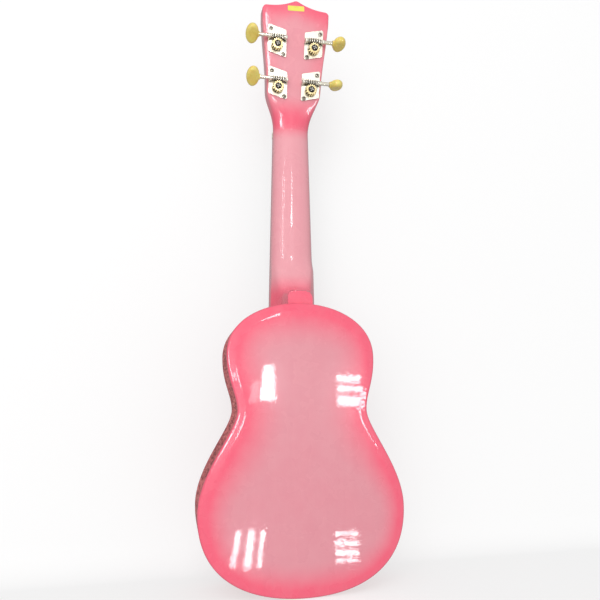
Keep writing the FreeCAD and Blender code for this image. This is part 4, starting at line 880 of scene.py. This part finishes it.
def back_spots(x, z):
    """Points on the back and their outward normals; x and z in millimetres."""
    def at(across, along):
        across, along = across * MM, along * MM
        rolled = np.clip(1 - edge_distance(across, along) / BACK_ROLL, 0, 1)
        depth = back_depth(across, along) - BACK_ROLL * (1 - np.sqrt(1 - rolled**2))
        return np.stack([across, TOP_Y + depth, along], 1)

    normals = np.cross(at(x, z + 0.1) - at(x, z - 0.1), at(x + 0.1, z) - at(x - 0.1, z))
    return at(x, z), unit(normals)


def neck_spots(degrees, z):
    """Points round the shaft, from 0 at its +X edge to 180 at the other, and their outward normals."""
    turn, share = np.radians(degrees), (z - BODY_END) / (NUT_AT - BODY_END)
    half = mix_number(JOINT_HALF, NUT_HALF, share)
    deep = mix_number(NECK_DEPTH_HEEL, NECK_DEPTH_NUT, share)
    points = np.stack([half * np.cos(turn), TOP_Y + deep * np.sin(turn) ** 0.85, z * MM], 1)
    lean = deep * 0.85 * np.sin(turn) ** -0.15 * np.cos(turn)
    return points, unit(np.stack([lean, half * np.sin(turn), np.zeros(len(z))], 1))


def head_spots(x, s):
    """Points on the headstock's back, on the +X side, and their outward normals."""
    breaks = skin_breaks()
    across = spline_weights(breaks, np.linspace(0, breaks[-1] / 2, 600))
    rows = np.einsum("nr,rcx,vc->nvx", spline_weights(HEAD_BREAKS, s), head_poles(), across)
    step = 0.1
    deep, beside = (
        np.array([np.interp(-at, -row[:, 0], row[:, 1]) for at, row in zip(x + moved, rows)])
        for moved in (0, step))
    facing = (np.full(len(x), math.cos(HEAD_TILT)), np.full(len(x), -math.sin(HEAD_TILT)))
    return head_place(x, s, deep), unit(np.stack([(deep - beside) / step, *facing], 1))


def mirrored_from(points, normals, eye, far):
    """Where sight lines that glance off these points have got to after going far."""
    sight = unit(points - eye)
    return points + (sight - 2 * np.sum(sight * normals, 1, keepdims=True) * normals) * far


def glow(name, power):
    material = bpy.data.materials.new(name)
    material.use_nodes = True
    tree = material.node_tree
    tree.nodes.clear()
    light = tree.nodes.new("ShaderNodeEmission")
    light.inputs["Strength"].default_value = power
    tree.links.new(light.outputs[0], tree.nodes.new("ShaderNodeOutputMaterial").inputs["Surface"])
    return material


def patch(corners):
    """A 7 by 7 grid of places between four corners."""
    down, across = (share.ravel()[:, None] for share in np.mgrid[0:1:7j, 0:1:7j])
    corners = np.array(corners, float)
    top, foot = mix_number(corners[0], corners[1], across), mix_number(corners[3], corners[2], across)
    return mix_number(top, foot, down)


def rim_patch(inset, half_wide, low, high):
    """A thin run of places that follows the treble rim between two heights, 7 across."""
    rows = [half_outline((inset + offset) * MM) / MM for offset in np.linspace(-half_wide, half_wide, 7)]
    kept = (rows[0][:, 1] > low) & (rows[0][:, 1] < high)
    return np.concatenate([row[kept] for row in rows])


def window_bar(name, spots, places, eye, power):
    """A lit strip hung where its mirror image in the lacquer fills the places, which come in 7 rows."""
    points = mirrored_from(*spots(places[:, 0], places[:, 1]), eye, BAR_FAR)
    mesh = bpy.data.meshes.new(name)
    mesh.from_pydata(points.tolist(), [], grid_faces(7, len(points) // 7))
    mesh.materials.append(glow(name, power))
    bar = bpy.data.objects.new(name, mesh)
    bar.visible_camera = bar.visible_diffuse = bar.visible_shadow = False
    bpy.context.scene.collection.objects.link(bar)


def hang_bars(eye):
    """Window strips seen beside the waist, on the lower bout, down the neck and along the headstock.

    Corners and heights are places on the lacquer in millimetres, or turns in degrees round the neck.
    """
    for i, (z, tall) in enumerate(((168.5, 2.6), (160.0, 2.3), (150.0, 4.0))):
        corners = [(-28.5, z + tall), (-51.5, z + tall - 1), (-50.5, z - tall - 1), (-28, z - tall)]
        window_bar(f"bar_waist_bass_{i}", back_spots, patch(corners), eye, 24)
    for i, (corners, power) in enumerate((
        ([(33.5, 179), (25, 179), (23.5, 150), (37.5, 150)], 23),
        ([(42, 166), (37, 166), (39, 149), (46.5, 149)], 5),
    )):
        window_bar(f"bar_waist_treble_{i}", back_spots, patch(corners), eye, power)
    for i, (top, foot) in enumerate(((53, 57.5), (43, 46.5), (34, 37.5))):
        wide = (1.7, 2.6, 1.5)[i]
        corners = [(top + wide, 52), (top - wide, 52), (foot - wide, 25), (foot + wide, 25)]
        window_bar(f"bar_lower_treble_{i}", back_spots, patch(corners), eye, 23)
    for i, (z, tall) in enumerate(((46.5, 1.3), (39.5, 1.7), (32.5, 1.8), (26.5, 1.0))):
        corners = [(-23, z + tall), (-42.5, z + tall - 1.2), (-42.5, z - tall - 1.2), (-23, z - tall)]
        window_bar(f"bar_lower_bass_{i}", back_spots, patch(corners), eye, 26)
    for i, (inset, half_wide, low, high) in enumerate(((6.8, 0.35, 160, 178), (1.6, 0.3, 111, 140))):
        window_bar(f"bar_rim_{i}", back_spots, rim_patch(inset, half_wide, low, high), eye, 16)
    dashes = [(62.5, 0.5, z, z + 5) for z in (338, 347, 356, 364, 382)]
    for i, (turn, wide, low, high) in enumerate([(58, 0.4, 257, 376)] + dashes):
        corners = [(turn - wide, high), (turn + wide, high), (turn + wide, low), (turn - wide, low)]
        window_bar(f"bar_neck_{i}", neck_spots, patch(corners), eye, 15)
    window_bar("bar_head", head_spots, patch([(30.6, 111), (28.6, 111), (23.6, 48), (25.4, 48)]), eye, 15)


# ---------------------------------------------------------------- studio
def soft_light(name, place, aim, wide, tall, watts):
    data = bpy.data.lights.new(name, "AREA")
    data.shape, data.size, data.size_y, data.energy = "RECTANGLE", wide, tall, watts
    lamp = bpy.data.objects.new(name, data)
    bpy.context.scene.collection.objects.link(lamp)
    lamp.location = place
    lamp.rotation_mode = "QUATERNION"
    lamp.rotation_quaternion = (Vector(aim) - Vector(place)).to_track_quat("-Z", "Y")
    lamp.visible_camera = lamp.visible_glossy = False


def make_stage():
    """A pale floor that curves up into a backdrop behind the strings' side."""
    wall_y = CAD_BOX[0].y - 0.035
    bend, profile = 0.03, []
    for y in np.linspace(1.6, wall_y + bend, 12):
        profile.append((y, 0.0))
    for turn in np.radians(np.linspace(0, 90, 13)[1:]):
        profile.append((wall_y + bend * (1 - math.sin(turn)), bend * (1 - math.cos(turn))))
    for z in np.linspace(bend, 2.4, 12)[1:]:
        profile.append((wall_y, z))
    xs = np.linspace(-2.2, 2.2, 12)
    points = [(x, y, z) for y, z in profile for x in xs]
    mesh = bpy.data.meshes.new("studio_sweep")
    faces = grid_faces(len(profile), len(xs), flip=True)
    mesh.from_pydata([tuple(map(float, p)) for p in points], [], faces)
    mesh.materials.append(studio_white())
    mesh.polygons.foreach_set("use_smooth", [True] * len(mesh.polygons))
    sweep = bpy.data.objects.new("studio_sweep", mesh)
    bpy.context.scene.collection.objects.link(sweep)
    sweep.visible_glossy = sweep.visible_diffuse = False


def make_world():
    world = bpy.data.worlds.new("studio")
    world.use_nodes = True
    tree = world.node_tree
    tree.nodes.clear()
    back = tree.nodes.new("ShaderNodeBackground")
    back.inputs["Color"].default_value = (1.0, 1.0, 1.0, 1)
    split = tree.nodes.new("ShaderNodeSeparateXYZ")
    where = tree.nodes.new("ShaderNodeTexCoord")
    ramp = tree.nodes.new("ShaderNodeMapRange")
    ramp.interpolation_type = "SMOOTHSTEP"
    for key, value in (("From Min", -0.35), ("From Max", 0.45), ("To Min", 0.40), ("To Max", 0.78)):
        ramp.inputs[key].default_value = value
    tree.links.new(where.outputs["Generated"], split.inputs[0])
    tree.links.new(split.outputs["Y"], ramp.inputs["Value"])
    tree.links.new(ramp.outputs[0], back.inputs["Strength"])
    tree.links.new(back.outputs[0], tree.nodes.new("ShaderNodeOutputWorld").inputs["Surface"])
    bpy.context.scene.world = world


CAMERA_PLACE = (0.1033, TOP_Y + 0.5104, 0.1484)
CAMERA_TURNS = (("up", -12.37), ("right", 10.35), ("ahead", 0.456))
CAMERA_LENS = 33.73


def make_camera():
    """Behind the instrument near its waist, turned a little aside and tipped up along the neck."""
    right, up, ahead = Vector((-1, 0, 0)), Vector((0, 0, 1)), Vector((0, -1, 0))
    for axis, degrees in CAMERA_TURNS:
        about = {"up": up, "right": right, "ahead": ahead}[axis].copy()
        turn = Matrix.Rotation(math.radians(degrees), 3, about)
        right, up, ahead = turn @ right, turn @ up, turn @ ahead
    data = bpy.data.cameras.new("camera")
    data.sensor_width, data.lens, data.clip_start = 36.0, CAMERA_LENS, 0.01
    camera = bpy.data.objects.new("camera", data)
    bpy.context.scene.collection.objects.link(camera)
    camera.matrix_world = Matrix([
        [right.x, up.x, -ahead.x, CAMERA_PLACE[0]],
        [right.y, up.y, -ahead.y, CAMERA_PLACE[1]],
        [right.z, up.z, -ahead.z, CAMERA_PLACE[2]],
        [0, 0, 0, 1]])
    bpy.context.scene.camera = camera
    return np.array(camera.matrix_world.translation)


# ---------------------------------------------------------------- finishes for the CAD nodes
def dress(node, material):
    slots = NODES[node].data.materials
    slots.clear()
    slots.append(material)


def dress_cad():
    spruce = bare_wood("brace_spruce", srgb(232, 196, 150), srgb(206, 162, 112), "x")
    kerf = bare_wood("lining_wood", srgb(222, 184, 140), srgb(190, 144, 100), "z", 0.8)
    rosewood = bare_wood("bridge_rosewood", srgb(110, 64, 48), srgb(60, 32, 26), "x", 1.4)
    plate = nickel("nickel_plate", srgb(250, 245, 230), 0.2, 0.36)
    pan_head = nickel("screw_nickel", srgb(176, 170, 158), 0.12, 0.2)
    shaft = nickel("nickel_shaft", srgb(244, 238, 222), 0.1, 0.2)
    fret = nickel("fret_metal", srgb(214, 214, 212), 0.14, 0.24)
    brass, steel, cream, string = gear_brass(), dark_steel(), button_plastic(), nylon()
    white, shell, rings, label = bone(), pearl(), rosette_rings(), yellow_label()
    for node in ("tail_block", "neck_block", "top_linings", "back_linings"):
        dress(node, kerf)
    for node in (
        "neck_dowels", "top_brace_lower", "top_brace_upper", "back_brace_lower", "back_brace_upper",
        "bridge_plate",
    ):
        dress(node, spruce)
    for node, material in (
        ("fingerboard", board_wood()), ("bridge", rosewood), ("saddle", white), ("nut", white),
        ("frets", fret), ("position_dots", shell), ("rosette", rings), ("headstock_sticker", label),
        ("plate_screws", pan_head), ("post_bushings", shaft),
    ):
        dress(node, material)
    for name in "gcea":
        for part, material in (
            ("string", string), ("string_coil", string), ("tuner_plate", plate), ("worm_shaft", shaft),
            ("post", shaft), ("gear", brass), ("gear_screw", steel), ("button", cream),
        ):
            dress(f"{part}_{name}", material)


def main():
    wood = bare_wood("bare_body_wood", srgb(226, 188, 144), srgb(196, 150, 106), "z")
    make_back(burst_lacquer("back_lacquer", CENTRE_ROSE, RIM_PINK), wood)
    make_soundboard(burst_lacquer("front_lacquer", CENTRE_ROSE, RIM_PINK), wood)
    rib = rib_lacquer()
    make_side(1, "side_treble", rib, wood)
    make_side(-1, "side_bass", rib, wood)
    make_neck(burst_lacquer("neck_lacquer", NECK_ROSE, RIM_PINK))
    dress_cad()
    eye = make_camera()
    make_world()
    make_stage()
    hang_bars(eye)
    soft_light("high_light", (0.5, 1.5, 1.3), (0, 0, 0.25), 1.2, 1.2, 10)
    soft_light("low_light", (0.9, 1.3, 0.35), (0, 0, 0.2), 0.9, 0.9, 3)
    bpy.context.scene.view_settings.view_transform = "Standard"


main()
